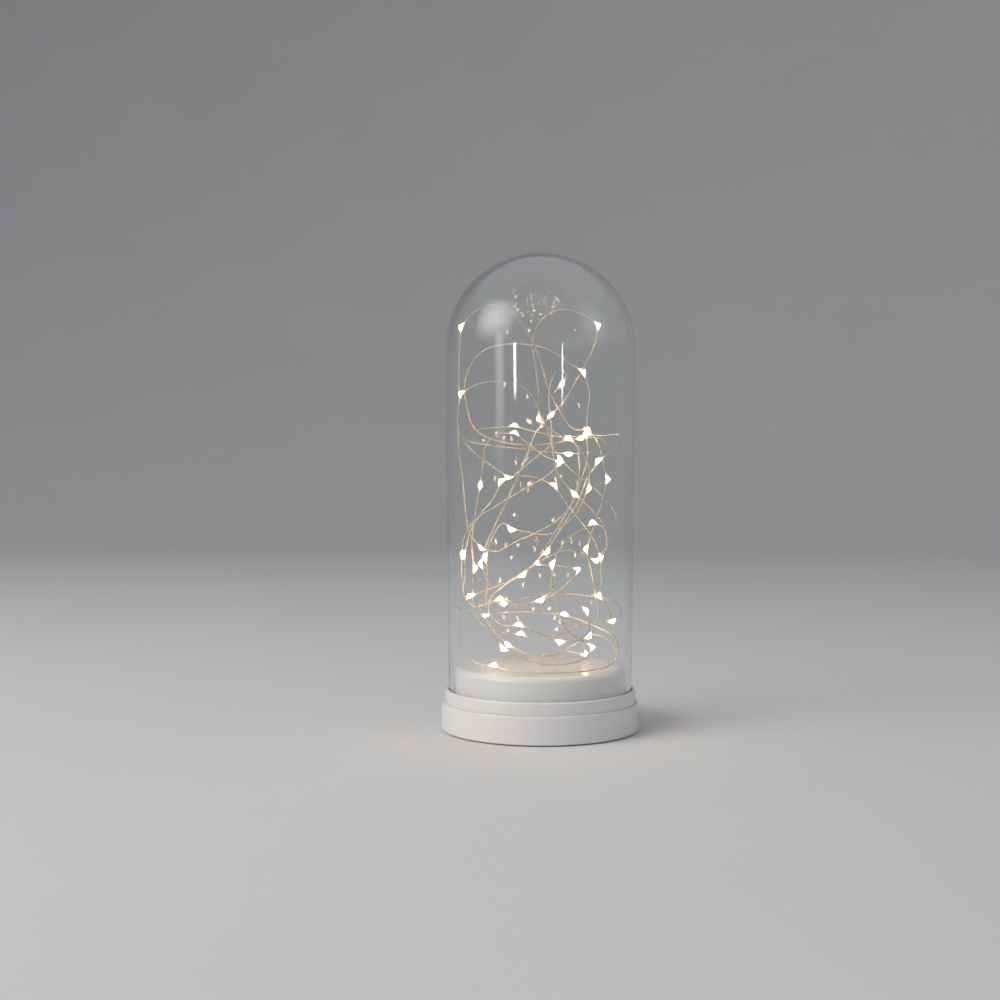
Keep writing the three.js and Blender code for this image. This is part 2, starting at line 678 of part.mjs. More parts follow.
const led = true;
const stringRoute = [
  // Out of the hole and round the front of the plinth
  [0, 0, 33], [1, 0.5, 36.5], [6, 2, 38.5], [14, 4, 38.5], [22.5, -1, 38, led], [22, -5, 44],
  [26, -9, 48.5], [33, -12, 46.5], [37, -15, 40], [34, -21, 35.5], [26, -28, 33.8],
  [16, -34, 33.4], [3, -38, 33.4], [-10, -37.5, 33.4], [-23, -31, 35.5, led], [-32, -25, 37],
  [-38, -16, 42], [-41, -7, 48], [-41.5, 3, 54], [-37, 12, 57],
  // Back across at the lower loops
  [-28, 18, 56, led], [-17, 21, 56.5], [-5, 19, 57], [6, 16, 56.5], [13, 12, 56, led], [21, 8, 54],
  [29, 3, 51], [36.5, -2, 47.5], [40.5, 3, 42.5], [40.5, 9, 40], [39, 13, 45], [38.5, 13, 52],
  [36, 9, 59],
  // Up the right side and over to the left wall
  [31, 3, 67, led], [31, -2, 76], [29.5, -6, 87, led], [26.5, -9, 96], [20, -10, 105],
  [13, -8, 114], [6.5, -5, 122.5, led], [-2, -5, 127], [-9, -7, 128], [-16, -9, 128, led],
  [-25, -14, 133.5], [-33, -17, 140], [-38, -10, 146], [-38.5, 1, 149.5],
  // Across at the tangle and down to the lower left
  [-35, 11, 151], [-27, 18, 152.5], [-13, 18, 153, led], [0, 14, 150], [12, 8, 147.5],
  [24, 2, 148.5, led], [32, -4, 148], [38.5, -9, 148.5], [38.5, -15, 144], [33, -20, 139.5],
  [28, -21, 135, led], [22, -20, 126], [18, -18, 115], [11, -17, 104], [2.5, -16, 91, led],
  [-8, -17, 81], [-21, -20, 74], [-34, -20, 69, led], [-40, -12, 64.5],
  // The lower loops, back and front
  [-41, -2, 60.5], [-39, 9, 59.5], [-32, 18, 61], [-18.5, 23, 61.5, led], [-4, 25, 64.5],
  [12, 25, 66], [27, 22, 65], [37, 14, 64], [41, 3, 61.5], [40, -6, 58], [35, -11, 56, led],
  [26, -15, 55], [17, -16, 54], [9, -18, 49.5], [0, -19, 47], [-10, -20, 49.5, led],
  [-20, -21, 51.5], [-28, -18, 54], [-33, -10, 61], [-34, -5, 71],
  // Up the left side
  [-33.5, -4, 81.5, led], [-34.5, -2, 94], [-33, 0, 107], [-30.5, 0, 123, led], [-29, -2, 134],
  [-27, -3, 144], [-21, 0, 149], [-13, 4, 149, led], [-5, 5, 143.5],
  // Tangle, and down the left wall again
  [2, 3, 138], [9, 0, 134.5, led], [3, 8, 127.5], [-8, 13, 121], [-22, 15, 112.5],
  [-33, 11, 105.5], [-38.5, 4, 97], [-39.5, -1, 88, led], [-39.5, -4, 78], [-37, 2, 68],
  [-31, 7, 60], [-26, 3, 52], [-16, -8, 43.5, led], [-6, -11, 39], [5, -10, 38], [16, -1, 42],
  [24.5, 3, 46.5, led],
  // Up the right side
  [30, 9, 55], [29, 7, 65], [27, 9, 77], [25, 12, 90, led], [28, 13, 101], [32, 10, 114],
  [34, 6, 126, led], [32, 3, 136], [29, 6, 146], [24.5, 10, 151, led],
  // Over the upper left arch and down the wall
  [17, 9, 152], [9, 7, 163], [4, 6, 173], [0.5, 4, 185], [-4, 3, 196], [-9.5, 2, 205],
  [-17, 1, 212], [-26, 0, 214], [-34, -1, 210], [-39.3, -2, 202.5, led], [-40.8, -1, 190],
  [-41.3, 2, 175], [-41.8, 5, 160], [-41.8, 3, 146], [-40, 1, 132],
  // From the left to the right arch
  [-38.5, -1, 118], [-37, -4, 106], [-35, -8, 98.5], [-29, -10, 92.5, led], [-22, -13, 90.5],
  [-12, -13, 95.5], [-2, -12, 100], [7, -12, 105], [14, -13, 112], [18, -14, 123], [19, -12, 135],
  [17, -10, 144.5],
  // Over the upper right arch
  [8, -9, 149], [0, -6, 156.5, led], [-1, -6, 168], [-2.5, -8, 182], [-4, -9, 194], [-2, -9, 202],
  [4, -10, 208.5], [12, -11, 210.5], [21, -11, 208], [27.5, -10, 202.5, led],
  // Down to the lower left and across
  [27, -9, 194], [22.5, -7, 184], [17.5, -4, 175], [12, -1, 165.5], [5.5, 1, 158.5, led],
  [-2, 0, 150], [-7, 1, 137.5], [-12, 3, 126], [-17, 5, 114.5], [-23, 6, 102.5], [-27.5, 6, 92],
  [-29.5, 7, 83, led], [-26.5, 10, 73], [-21, 12, 65], [-12, 12, 61.5], [-2, 9, 63], [8, 5, 68],
  // Up to the middle arch
  [18.5, -1, 80, led], [9, -3, 82.5], [-1, -4, 84, led], [3, -2, 92], [10, 3, 103], [17, 4, 115],
  [21, 3, 126], [24, -1, 138], [23, -5, 149, led], [24, -1, 160], [25, 3, 171],
  // Along the middle arch
  [21.5, 4, 180, led], [14, 7, 186], [5, 9, 192], [-6, 10, 195], [-18, 11, 195], [-28, 11, 192.5],
  [-35, 9, 185], [-38.8, 10, 175], [-38, 15, 164],
  // Round the back of the tangle and along its front
  [-35, 20, 154], [-28, 25, 148], [-17, 29, 145], [-4, 31, 144], [9, 29, 145], [22, 24, 147, led],
  [31, 17, 147.5], [34, 8, 144.5], [30, -4, 141.5], [23, -14, 139.5], [13, -20, 139, led],
  [1, -23, 140], [-12, -24, 141.5], [-25, -24, 143], [-35, -19, 145], [-40, -9, 150],
  // Over the lower left arch
  [-41.3, -4, 158], [-39, -5, 168.5, led], [-33, -7, 173], [-24, -8, 175], [-14, -9, 174],
  [-6, -9, 170],
  // The loose loops on the right
  [-2, -10, 163], [2, -11, 154], [6, -9, 143], [10, -5, 136.5, led], [15, -5, 131.5],
  [21, -5, 126.5], [27, -4, 121.5], [33, -4, 115.5], [37.5, -6, 109], [37.5, -9, 104],
  [34, -12, 101.5], [30, -13, 103], [25.5, -15, 104, led], [20, -18, 101.5], [14, -20, 98],
  [9, -22, 92], [6, -23, 84.5, led], [5, -23.5, 77],
  // Along the bottom and up the left
  [6, -24, 69], [9, -24, 60], [11.5, -23, 53.5], [17, -22, 48.5], [24, -21, 44, led],
  [21, -25, 39], [12, -28, 36.5], [1, -29, 36.5], [-9, -28, 39.5], [-18, -27, 44.5, led],
  [-25, -26, 53], [-27, -25, 64], [-26, -25, 76], [-26.5, -23, 88, led], [-24, -22, 97.5],
  [-18.5, -23, 105], [-14.5, -24, 102.5, led], [-6, -24, 100.5], [3, -25, 99.5], [11, -26, 104],
  [18, -26, 111.5], [22, -26, 122, led], [23, -27, 131], [20, -28, 138.5], [13, -28, 145.5, led],
  [5, -28.5, 143], [-4, -29, 136], [-12, -29, 129.5], [-19, -28, 125, led], [-23.5, -27, 116.5],
  [-29, -25, 110], [-34.5, -19, 100.5], [-37, -16, 89, led], [-37, -15, 78],
  // Down to the lower left, twice along the front, and up to the small upper loop
  [-37.5, -20, 71], [-32, -27.5, 64.5], [-20, -33, 68, led], [-10.5, -35, 65.5],
  [-1, -35, 69, led], [5.5, -34.5, 72.5], [13.5, -33, 69.5], [20.5, -31, 62.5, led],
  [22.5, -32, 54.5], [17, -34, 49], [8.5, -36, 49, led], [-1, -37.5, 52.5], [-11, -36.5, 56, led],
  [-18.5, -34, 56], [-25, -31, 61], [-24.5, -27.5, 68.5], [-18.5, -29, 74.5],
  [-9.5, -31, 80.5, led], [2, -31, 88.5], [14, -29, 92], [26, -25, 87.5, led], [31, -22, 92],
  [30.5, -24, 102], [24, -29, 111.5], [15.5, -33, 119.5, led], [8, -35, 128], [5, -35, 139.5],
  [4.5, -31, 152], [3.5, -26, 164.5], [5, -20, 175], [8.5, -17, 180], [12.5, -15, 178],
  [10, -14, 173.5, led], [6.5, -14, 169],
];
const routeSpread = glassRimRadius / routeGlassRadius;
const routeRise = (overallHeight - drumHeight) / (routeDomeHeight - routePlinthHeight);
const routePoints = stringRoute.map(([x, y, z]) => {
  const height = drumHeight + (z - routePlinthHeight) * routeRise;
  return new THREE.Vector3(x * routeSpread, y * routeSpread, height);
});
const stringCurve = new THREE.CatmullRomCurve3(routePoints, false, 'centripetal');
stringCurve.arcLengthDivisions = curveStepsPerPoint * (routePoints.length - 1);
const lengths = stringCurve.getLengths();
const stringLength = lengths[lengths.length - 1];

// Along a drop: where its rings stand and how wide they are, as shares of its length and radius
const dropShares = [[-0.5, 0], [-0.2, 0.85], [0.1, 1], [0.5, 0]];
const fixedRings = [{ along: 0, radius: wireRadius }];
stringRoute.forEach(([, , , light], i) => {
  if (!light) return;
  for (const [alongShare, radiusShare] of dropShares) {
    fixedRings.push({
      along: lengths[i * curveStepsPerPoint] + alongShare * beadLength,
      radius: wireRadius + radiusShare * (beadRadius - wireRadius),
    });
  }
});
fixedRings.push({ along: stringLength, radius: wireRadius });

const stringRings = [];
fixedRings.forEach((ring, i) => {
  stringRings.push(ring);
  const next = fixedRings[i + 1];
  if (!next || ring.radius > wireRadius) return;
  const gap = next.along - ring.along;
  const count = Math.ceil(gap / wireStep);
  for (let k = 1; k < count; k += 1) {
    stringRings.push({ along: ring.along + (gap * k) / count, radius: wireRadius });
  }
});
for (const ring of stringRings) {
  ring.point = stringCurve.getPointAt(ring.along / stringLength);
}
addPiece('light_string', tubeThrough(stringRings, wireSides), 'copperWire');

// The least gap from the string to itself, between points that aren't near each other along it
const samples = [];
let ringAt = 0;
for (const along of lengths) {
  while (ringAt + 2 < stringRings.length && stringRings[ringAt + 1].along < along) ringAt += 1;
  const [from, to] = [stringRings[ringAt], stringRings[ringAt + 1]];
  const share = (along - from.along) / (to.along - from.along);
  const radius = from.radius + share * (to.radius - from.radius);
  samples.push({ along, radius, point: stringCurve.getPointAt(along / stringLength) });
}
let leastGap = Infinity;
samples.forEach((here, i) => {
  for (const there of samples.slice(i + 1)) {
    if (there.along - here.along < 2 * beadLength) continue;
    const gap = here.point.distanceTo(there.point) - here.radius - there.radius;
    leastGap = Math.min(leastGap, gap);
  }
});
console.log(`light_string: ${stringLength.toFixed(0)} mm long, least gap to itself`
  + ` ${leastGap.toFixed(2)} mm, ${stringRings.length} rings`);

export default group;
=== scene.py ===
import math

import bmesh
import bpy
from mathutils import Matrix, Vector


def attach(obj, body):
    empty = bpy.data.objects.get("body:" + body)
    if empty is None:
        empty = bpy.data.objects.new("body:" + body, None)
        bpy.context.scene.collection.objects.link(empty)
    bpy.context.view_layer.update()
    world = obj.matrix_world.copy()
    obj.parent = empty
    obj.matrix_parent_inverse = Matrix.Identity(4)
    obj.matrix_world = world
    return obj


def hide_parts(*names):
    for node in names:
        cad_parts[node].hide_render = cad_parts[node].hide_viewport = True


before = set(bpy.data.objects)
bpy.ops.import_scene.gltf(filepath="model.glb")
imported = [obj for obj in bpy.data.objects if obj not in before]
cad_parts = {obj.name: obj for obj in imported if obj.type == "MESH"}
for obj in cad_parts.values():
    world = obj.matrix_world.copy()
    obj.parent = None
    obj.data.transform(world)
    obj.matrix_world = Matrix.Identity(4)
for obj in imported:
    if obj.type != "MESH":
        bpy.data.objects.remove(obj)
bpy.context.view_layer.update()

mm = 0.001

# Camera
# Where the photograph was taken: a 50 mm class lens about 0.7 m from the light's axis, halfway up
# the glass and tipped down very little, with the light just right of the picture's middle.
camera_distance = 0.712
camera_height = 0.133
camera_left = -0.0203
camera_tip = 1.4
camera_lens = 50.7

camera_data = bpy.data.cameras.new("camera")
camera_data.lens = camera_lens
camera_data.clip_start = 0.05
camera_data.clip_end = 20
camera = bpy.data.objects.new("camera", camera_data)
camera.location = (camera_left, -camera_distance, camera_height)
camera.rotation_euler = (math.radians(90 - camera_tip), 0, 0)
bpy.context.scene.collection.objects.link(camera)
bpy.context.scene.camera = camera

# Wire of the light string
# Two fine lacquered copper wires run side by side and turn slowly about each other. The string
# is pushed loosely into the glass by hand, so its route is a list of points, in millimetres.
led = True
string_route = [
    # Out of the hole and round the front of the plinth
    (0, 0, 33), (1, 0.5, 36.5), (6, 2, 38.5), (14, 4, 38.5), (22.5, -1, 38, led), (22, -5, 44),
    (26, -9, 48.5), (33, -12, 46.5), (37, -15, 40), (34, -21, 35.5), (26, -28, 33.8),
    (16, -34, 33.4), (3, -38, 33.4), (-10, -37.5, 33.4), (-23, -31, 35.5, led), (-32, -25, 37),
    (-38, -16, 42), (-41, -7, 48), (-41.5, 3, 54), (-37, 12, 57),
    # Back across at the lower loops
    (-28, 18, 56, led), (-17, 21, 56.5), (-5, 19, 57), (6, 16, 56.5), (13, 12, 56, led),
    (21, 8, 54), (29, 3, 51), (36.5, -2, 47.5), (40.5, 3, 42.5), (40.5, 9, 40), (39, 13, 45),
    (38.5, 13, 52), (36, 9, 59),
    # Up the right side and over to the left wall
    (31, 3, 67, led), (31, -2, 76), (29.5, -6, 87, led), (26.5, -9, 96), (20, -10, 105),
    (13, -8, 114), (6.5, -5, 122.5, led), (-2, -5, 127), (-9, -7, 128), (-16, -9, 128, led),
    (-25, -14, 133.5), (-33, -17, 140), (-38, -10, 146), (-38.5, 1, 149.5),
    # Across at the tangle and down to the lower left
    (-35, 11, 151), (-27, 18, 152.5), (-13, 18, 153, led), (0, 14, 150), (12, 8, 147.5),
    (24, 2, 148.5, led), (32, -4, 148), (38.5, -9, 148.5), (38.5, -15, 144), (33, -20, 139.5),
    (28, -21, 135, led), (22, -20, 126), (18, -18, 115), (11, -17, 104), (2.5, -16, 91, led),
    (-8, -17, 81), (-21, -20, 74), (-34, -20, 69, led), (-40, -12, 64.5),
    # The lower loops, back and front
    (-41, -2, 60.5), (-39, 9, 59.5), (-32, 18, 61), (-18.5, 23, 61.5, led), (-4, 25, 64.5),
    (12, 25, 66), (27, 22, 65), (37, 14, 64), (41, 3, 61.5), (40, -6, 58), (35, -11, 56, led),
    (26, -15, 55), (17, -16, 54), (9, -18, 49.5), (0, -19, 47), (-10, -20, 49.5, led),
    (-20, -21, 51.5), (-28, -18, 54), (-33, -10, 61), (-34, -5, 71),
    # Up the left side
    (-33.5, -4, 81.5, led), (-34.5, -2, 94), (-33, 0, 107), (-30.5, 0, 123, led), (-29, -2, 134),
    (-27, -3, 144), (-21, 0, 149), (-13, 4, 149, led), (-5, 5, 143.5),
    # Tangle, and down the left wall again
    (2, 3, 138), (9, 0, 134.5, led), (3, 8, 127.5), (-8, 13, 121), (-22, 15, 112.5),
    (-33, 11, 105.5), (-38.5, 4, 97), (-39.5, -1, 88, led), (-39.5, -4, 78), (-37, 2, 68),
    (-31, 7, 60), (-26, 3, 52), (-16, -8, 43.5, led), (-6, -11, 39), (5, -10, 38), (16, -1, 42),
    (24.5, 3, 46.5, led),
    # Up the right side
    (30, 9, 55), (29, 7, 65), (27, 9, 77), (25, 12, 90, led), (28, 13, 101), (32, 10, 114),
    (34, 6, 126, led), (32, 3, 136), (29, 6, 146), (24.5, 10, 151, led),
    # Over the upper left arch and down the wall
    (17, 9, 152), (9, 7, 163), (4, 6, 173), (0.5, 4, 185), (-4, 3, 196), (-9.5, 2, 205),
    (-17, 1, 212), (-26, 0, 214), (-34, -1, 210), (-39.3, -2, 202.5, led), (-40.8, -1, 190),
    (-41.3, 2, 175), (-41.8, 5, 160), (-41.8, 3, 146), (-40, 1, 132),
    # From the left to the right arch
    (-38.5, -1, 118), (-37, -4, 106), (-35, -8, 98.5), (-29, -10, 92.5, led), (-22, -13, 90.5),
    (-12, -13, 95.5), (-2, -12, 100), (7, -12, 105), (14, -13, 112), (18, -14, 123), (19, -12, 135),
    (17, -10, 144.5),
    # Over the upper right arch
    (8, -9, 149), (0, -6, 156.5, led), (-1, -6, 168), (-2.5, -8, 182), (-4, -9, 194), (-2, -9, 202),
    (4, -10, 208.5), (12, -11, 210.5), (21, -11, 208), (27.5, -10, 202.5, led),
    # Down to the lower left and across
    (27, -9, 194), (22.5, -7, 184), (17.5, -4, 175), (12, -1, 165.5), (5.5, 1, 158.5, led),
    (-2, 0, 150), (-7, 1, 137.5), (-12, 3, 126), (-17, 5, 114.5), (-23, 6, 102.5), (-27.5, 6, 92),
    (-29.5, 7, 83, led), (-26.5, 10, 73), (-21, 12, 65), (-12, 12, 61.5), (-2, 9, 63), (8, 5, 68),
    # Up to the middle arch
    (18.5, -1, 80, led), (9, -3, 82.5), (-1, -4, 84, led), (3, -2, 92), (10, 3, 103), (17, 4, 115),
    (21, 3, 126), (24, -1, 138), (23, -5, 149, led), (24, -1, 160), (25, 3, 171),
    # Along the middle arch
    (21.5, 4, 180, led), (14, 7, 186), (5, 9, 192), (-6, 10, 195), (-18, 11, 195), (-28, 11, 192.5),
    (-35, 9, 185), (-38.8, 10, 175), (-38, 15, 164),
    # Round the back of the tangle and along its front
    (-35, 20, 154), (-28, 25, 148), (-17, 29, 145), (-4, 31, 144), (9, 29, 145), (22, 24, 147, led),
    (31, 17, 147.5), (34, 8, 144.5), (30, -4, 141.5), (23, -14, 139.5), (13, -20, 139, led),
    (1, -23, 140), (-12, -24, 141.5), (-25, -24, 143), (-35, -19, 145), (-40, -9, 150),
    # Over the lower left arch
    (-41.3, -4, 158), (-39, -5, 168.5, led), (-33, -7, 173), (-24, -8, 175), (-14, -9, 174),
    (-6, -9, 170),
    # The loose loops on the right
    (-2, -10, 163), (2, -11, 154), (6, -9, 143), (10, -5, 136.5, led), (15, -5, 131.5),
    (21, -5, 126.5), (27, -4, 121.5), (33, -4, 115.5), (37.5, -6, 109), (37.5, -9, 104),
    (34, -12, 101.5), (30, -13, 103), (25.5, -15, 104, led), (20, -18, 101.5), (14, -20, 98),
    (9, -22, 92), (6, -23, 84.5, led), (5, -23.5, 77),
    # Along the bottom and up the left
    (6, -24, 69), (9, -24, 60), (11.5, -23, 53.5), (17, -22, 48.5), (24, -21, 44, led),
    (21, -25, 39), (12, -28, 36.5), (1, -29, 36.5), (-9, -28, 39.5), (-18, -27, 44.5, led),
    (-25, -26, 53), (-27, -25, 64), (-26, -25, 76), (-26.5, -23, 88, led), (-24, -22, 97.5),
    (-18.5, -23, 105), (-14.5, -24, 102.5, led), (-6, -24, 100.5), (3, -25, 99.5), (11, -26, 104),
    (18, -26, 111.5), (22, -26, 122, led), (23, -27, 131), (20, -28, 138.5), (13, -28, 145.5, led),
    (5, -28.5, 143), (-4, -29, 136), (-12, -29, 129.5), (-19, -28, 125, led), (-23.5, -27, 116.5),
    (-29, -25, 110), (-34.5, -19, 100.5), (-37, -16, 89, led), (-37, -15, 78),
    # Down to the lower left, twice along the front, and up to the small upper loop
    (-37.5, -20, 71), (-32, -27.5, 64.5), (-20, -33, 68, led), (-10.5, -35, 65.5),
    (-1, -35, 69, led), (5.5, -34.5, 72.5), (13.5, -33, 69.5), (20.5, -31, 62.5, led),
    (22.5, -32, 54.5), (17, -34, 49), (8.5, -36, 49, led), (-1, -37.5, 52.5),
    (-11, -36.5, 56, led), (-18.5, -34, 56), (-25, -31, 61), (-24.5, -27.5, 68.5),
    (-18.5, -29, 74.5), (-9.5, -31, 80.5, led), (2, -31, 88.5), (14, -29, 92),
    (26, -25, 87.5, led), (31, -22, 92), (30.5, -24, 102), (24, -29, 111.5),
    (15.5, -33, 119.5, led), (8, -35, 128), (5, -35, 139.5), (4.5, -31, 152), (3.5, -26, 164.5),
    (5, -20, 175), (8.5, -17, 180), (12.5, -15, 178), (10, -14, 173.5, led), (6.5, -14, 169),
]
strand_radius = 0.22 * mm
strand_offset = 0.21 * mm
strand_sides = 7
wire_step = 1.3 * mm
twist_length = 34 * mm
merge_distance = 1e-7
pattern_low = 0.3
pattern_high = 0.7


def finished(name, bm, material):
    """The bmesh as a named, smooth shaded object at the origin, with its normals out."""
    bmesh.ops.remove_doubles(bm, verts=bm.verts, dist=merge_distance)
    bmesh.ops.recalc_face_normals(bm, faces=bm.faces)
    mesh = bpy.data.meshes.new(name)
    bm.to_mesh(mesh)
    bm.free()
    for face in mesh.polygons:
        face.use_smooth = True
    piece = bpy.data.objects.new(name, mesh)
    bpy.context.scene.collection.objects.link(piece)
    mesh.materials.append(material)
    return piece


def shader(name, **values):
    """A material with one Principled shader, its plain values set on its own sockets."""
    material = bpy.data.materials.new(name)
    material.use_nodes = True
    principled = material.node_tree.nodes["Principled BSDF"]
    for socket, value in values.items():
        principled.inputs[socket.replace("_", " ")].default_value = value
    return material, material.node_tree, principled


def noise(tree, scale, detail=4.0):
    """A noise pattern in the piece's own metres."""
    place = tree.nodes.new("ShaderNodeTexCoord")
    pattern = tree.nodes.new("ShaderNodeTexNoise")
    pattern.inputs["Scale"].default_value = scale
    pattern.inputs["Detail"].default_value = detail
    tree.links.new(place.outputs["Object"], pattern.inputs["Vector"])
    return pattern


def tinted(tree, pattern, dark, light, socket):
    """Spreads a pattern between two colours, onto a socket."""
    ramp = tree.nodes.new("ShaderNodeValToRGB")
    ramp.color_ramp.elements[0].position = pattern_low
    ramp.color_ramp.elements[1].position = pattern_high
    ramp.color_ramp.elements[0].color = (*dark, 1)
    ramp.color_ramp.elements[1].color = (*light, 1)
    tree.links.new(pattern.outputs["Fac"], ramp.inputs["Fac"])
    tree.links.new(ramp.outputs["Color"], socket)


def ranged(tree, pattern, low, high, socket):
    """Spreads a pattern between two values, onto a socket."""
    spread = tree.nodes.new("ShaderNodeMapRange")
    spread.inputs["From Min"].default_value = pattern_low
    spread.inputs["From Max"].default_value = pattern_high
    spread.inputs["To Min"].default_value = low
    spread.inputs["To Max"].default_value = high
    tree.links.new(pattern.outputs["Fac"], spread.inputs["Value"])
    tree.links.new(spread.outputs["Result"], socket)


def bumped(tree, pattern, principled, strength, distance):
    """Raises the surface a little by a pattern."""
    bump = tree.nodes.new("ShaderNodeBump")
    bump.inputs["Strength"].default_value = strength
    bump.inputs["Distance"].default_value = distance
    tree.links.new(pattern.outputs["Fac"], bump.inputs["Height"])
    tree.links.new(bump.outputs["Normal"], principled.inputs["Normal"])


def smooth_run(points, step):
    """A smooth line through the points, by their centripetal spacing, and where each point is."""
    line = []
    marks = []
    ends = [2 * points[0] - points[1], *points, 2 * points[-1] - points[-2]]
    for i in range(len(points) - 1):
        before, start, end, after = ends[i : i + 4]
        gaps = [(b - a).length ** 0.5 for a, b in ((before, start), (start, end), (end, after))]
        leave = (start - before) / gaps[0] - (end - before) / (gaps[0] + gaps[1])
        leave = (leave + (end - start) / gaps[1]) * gaps[1]
        arrive = (end - start) / gaps[1] - (after - start) / (gaps[1] + gaps[2])
        arrive = (arrive + (after - end) / gaps[2]) * gaps[1]
        count = max(2, math.ceil((end - start).length / step))
        marks.append(len(line))
        for k in range(count):
            t = k / count
            square, cube = t * t, t * t * t
            line.append(
                start * (2 * cube - 3 * square + 1)
                + leave * (cube - 2 * square + t)
                + end * (3 * square - 2 * cube)
                + arrive * (cube - square)
            )
    marks.append(len(line))
    line.append(points[-1].copy())
    return line, marks


route_points = [Vector(point[:3]) * mm for point in string_route]
wire_line, wire_marks = smooth_run(route_points, wire_step)
wire_along = [0.0]
for before, after in zip(wire_line, wire_line[1:]):
    wire_along.append(wire_along[-1] + (after - before).length)
wire_length = wire_along[-1]

strands = bpy.data.curves.new("strand_section", "CURVE")
strands.dimensions = "2D"
for side in (-1, 1):
    circle = strands.splines.new("POLY")
    circle.points.add(strand_sides - 1)
    for k, point in enumerate(circle.points):
        angle = 2 * math.pi * k / strand_sides
        across = side * strand_offset + strand_radius * math.cos(angle)
        point.co = (across, strand_radius * math.sin(angle), 0, 1)
    circle.use_cyclic_u = True
strand_section = bpy.data.objects.new("strand_section", strands)
bpy.context.scene.collection.objects.link(strand_section)

wire_curve = bpy.data.curves.new("string_wire", "CURVE")
wire_curve.dimensions = "3D"
wire_curve.twist_mode = "MINIMUM"
wire_curve.bevel_mode = "OBJECT"
wire_curve.bevel_object = strand_section
wire_curve.use_fill_caps = True
run = wire_curve.splines.new("POLY")
run.points.add(len(wire_line) - 1)
for point, place, along in zip(run.points, wire_line, wire_along):
    point.co = (*place, 1)
    point.tilt = 2 * math.pi * along / twist_length
wire_source = bpy.data.objects.new("wire_source", wire_curve)
bpy.context.scene.collection.objects.link(wire_source)
bpy.context.view_layer.update()
solid_wire = bpy.data.meshes.new_from_object(
    wire_source.evaluated_get(bpy.context.evaluated_depsgraph_get())
)
bpy.data.objects.remove(wire_source)
bpy.data.objects.remove(strand_section)
solid_wire.materials.clear()

copper, tree, principled = shader(
    "lacquered_copper", Metallic=0.92, Coat_Weight=0.5, Coat_Roughness=0.15
)
wear = noise(tree, 900)
tinted(tree, wear, (0.7, 0.57, 0.42), (0.9, 0.8, 0.65), principled.inputs["Base Color"])
ranged(tree, wear, 0.24, 0.42, principled.inputs["Roughness"])
bm = bmesh.new()
bm.from_mesh(solid_wire)
string_wire = finished("string_wire", bm, copper)
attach(string_wire, "base")
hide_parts("light_string")

# Lights of the string
# Each light is a tiny chip soldered across the two wires and sealed in a drop of clear resin.
# The wire kinks where the chip sits, so the drop sags to the outside of the kink.
drop_half_length = 4.3 * mm
drop_radius = 0.95 * mm
drop_sag = 1.15 * mm
drop_taper = 1.15
drop_belly = 1.9
drop_tail = 1.6 * strand_radius
glow_fall = 1.2
least_kink = 0.05 * mm
least_share = 1e-6
drop_sides = 14
drop_rings = 18
drops_in_a_piece = 12

# The light fades from the chip to the tips: each point's share is kept on the mesh as "glow"
lit_resin, tree, principled = shader(
    "lit_resin", Base_Color=(0.72, 0.59, 0.43, 1), Emission_Strength=54.0
)
glow = tree.nodes.new("ShaderNodeAttribute")
glow.attribute_name = "glow"
fade = tree.nodes.new("ShaderNodeValToRGB")
fade.color_ramp.elements[0].color = (0.002, 0.001, 0.0004, 1)
fade.color_ramp.elements[1].color = (1.0, 0.68, 0.4, 1)
for position, colour in (
    (0.3, (0.009, 0.0052, 0.0022, 1)),
    (0.5, (0.023, 0.016, 0.0085, 1)),
    (0.75, (0.2, 0.14, 0.085, 1)),
):
    fade.color_ramp.elements.new(position).color = colour
tree.links.new(glow.outputs["Fac"], fade.inputs["Fac"])
tree.links.new(fade.outputs["Color"], principled.inputs["Emission Color"])
ranged(tree, noise(tree, 1500), 0.08, 0.2, principled.inputs["Roughness"])


def on_wire(along):
    """The point of the wire at a length along it, and its direction there."""
    along = min(max(along, 0.0), wire_length)
    low = 0
    high = len(wire_along) - 1
    while high - low > 1:
        middle = (low + high) // 2
        if wire_along[middle] <= along:
            low = middle
        else:
            high = middle
    share = (along - wire_along[low]) / (wire_along[high] - wire_along[low])
    step = wire_line[high] - wire_line[low]
    return wire_line[low] + share * step, step.normalized()


def add_drop(bm, at, glow_layer):
    """A drop of resin bent along the wire, thickest at the chip, sagging out of the kink."""
    middle, forward = on_wire(at)
    before = on_wire(at - drop_half_length)[0]
    after = on_wire(at + drop_half_length)[0]
    out = middle - (before + after) / 2
    out = out - forward * out.dot(forward)
    if out.length < least_kink:
        out = Vector((0, 0, -1)) + forward * forward.z
    out.normalize()
    across = forward.cross(out)
    made = bmesh.ops.create_uvsphere(bm, u_segments=drop_sides, v_segments=drop_rings, radius=1)
    for vert in made["verts"]:
        x, y, z = vert.co
        reach = 1 - abs(z) ** drop_taper
        round_share = math.hypot(x, y)
        turn = Vector((x, y)) / round_share if round_share > least_share else Vector((0, 0))
        tail = drop_tail * math.sqrt(max(0, 1 - z * z))
        radius = tail + (drop_radius - strand_radius) * reach**drop_belly
        place = on_wire(at + z * drop_half_length)[0]
        vert.co = place + out * (turn.x * radius + drop_sag * reach**2) + across * turn.y * radius
        vert[glow_layer] = reach**glow_fall


led_places = [
    wire_along[mark] for mark, point in zip(wire_marks, string_route) if point[3:] == (led,)
]
for first in range(0, len(led_places), drops_in_a_piece):
    bm = bmesh.new()
    glow_layer = bm.verts.layers.float.new("glow")
    for at in led_places[first : first + drops_in_a_piece]:
        add_drop(bm, at, glow_layer)
    piece = finished(f"led_drops_{first // drops_in_a_piece + 1}", bm, lit_resin)
    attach(piece, "base")

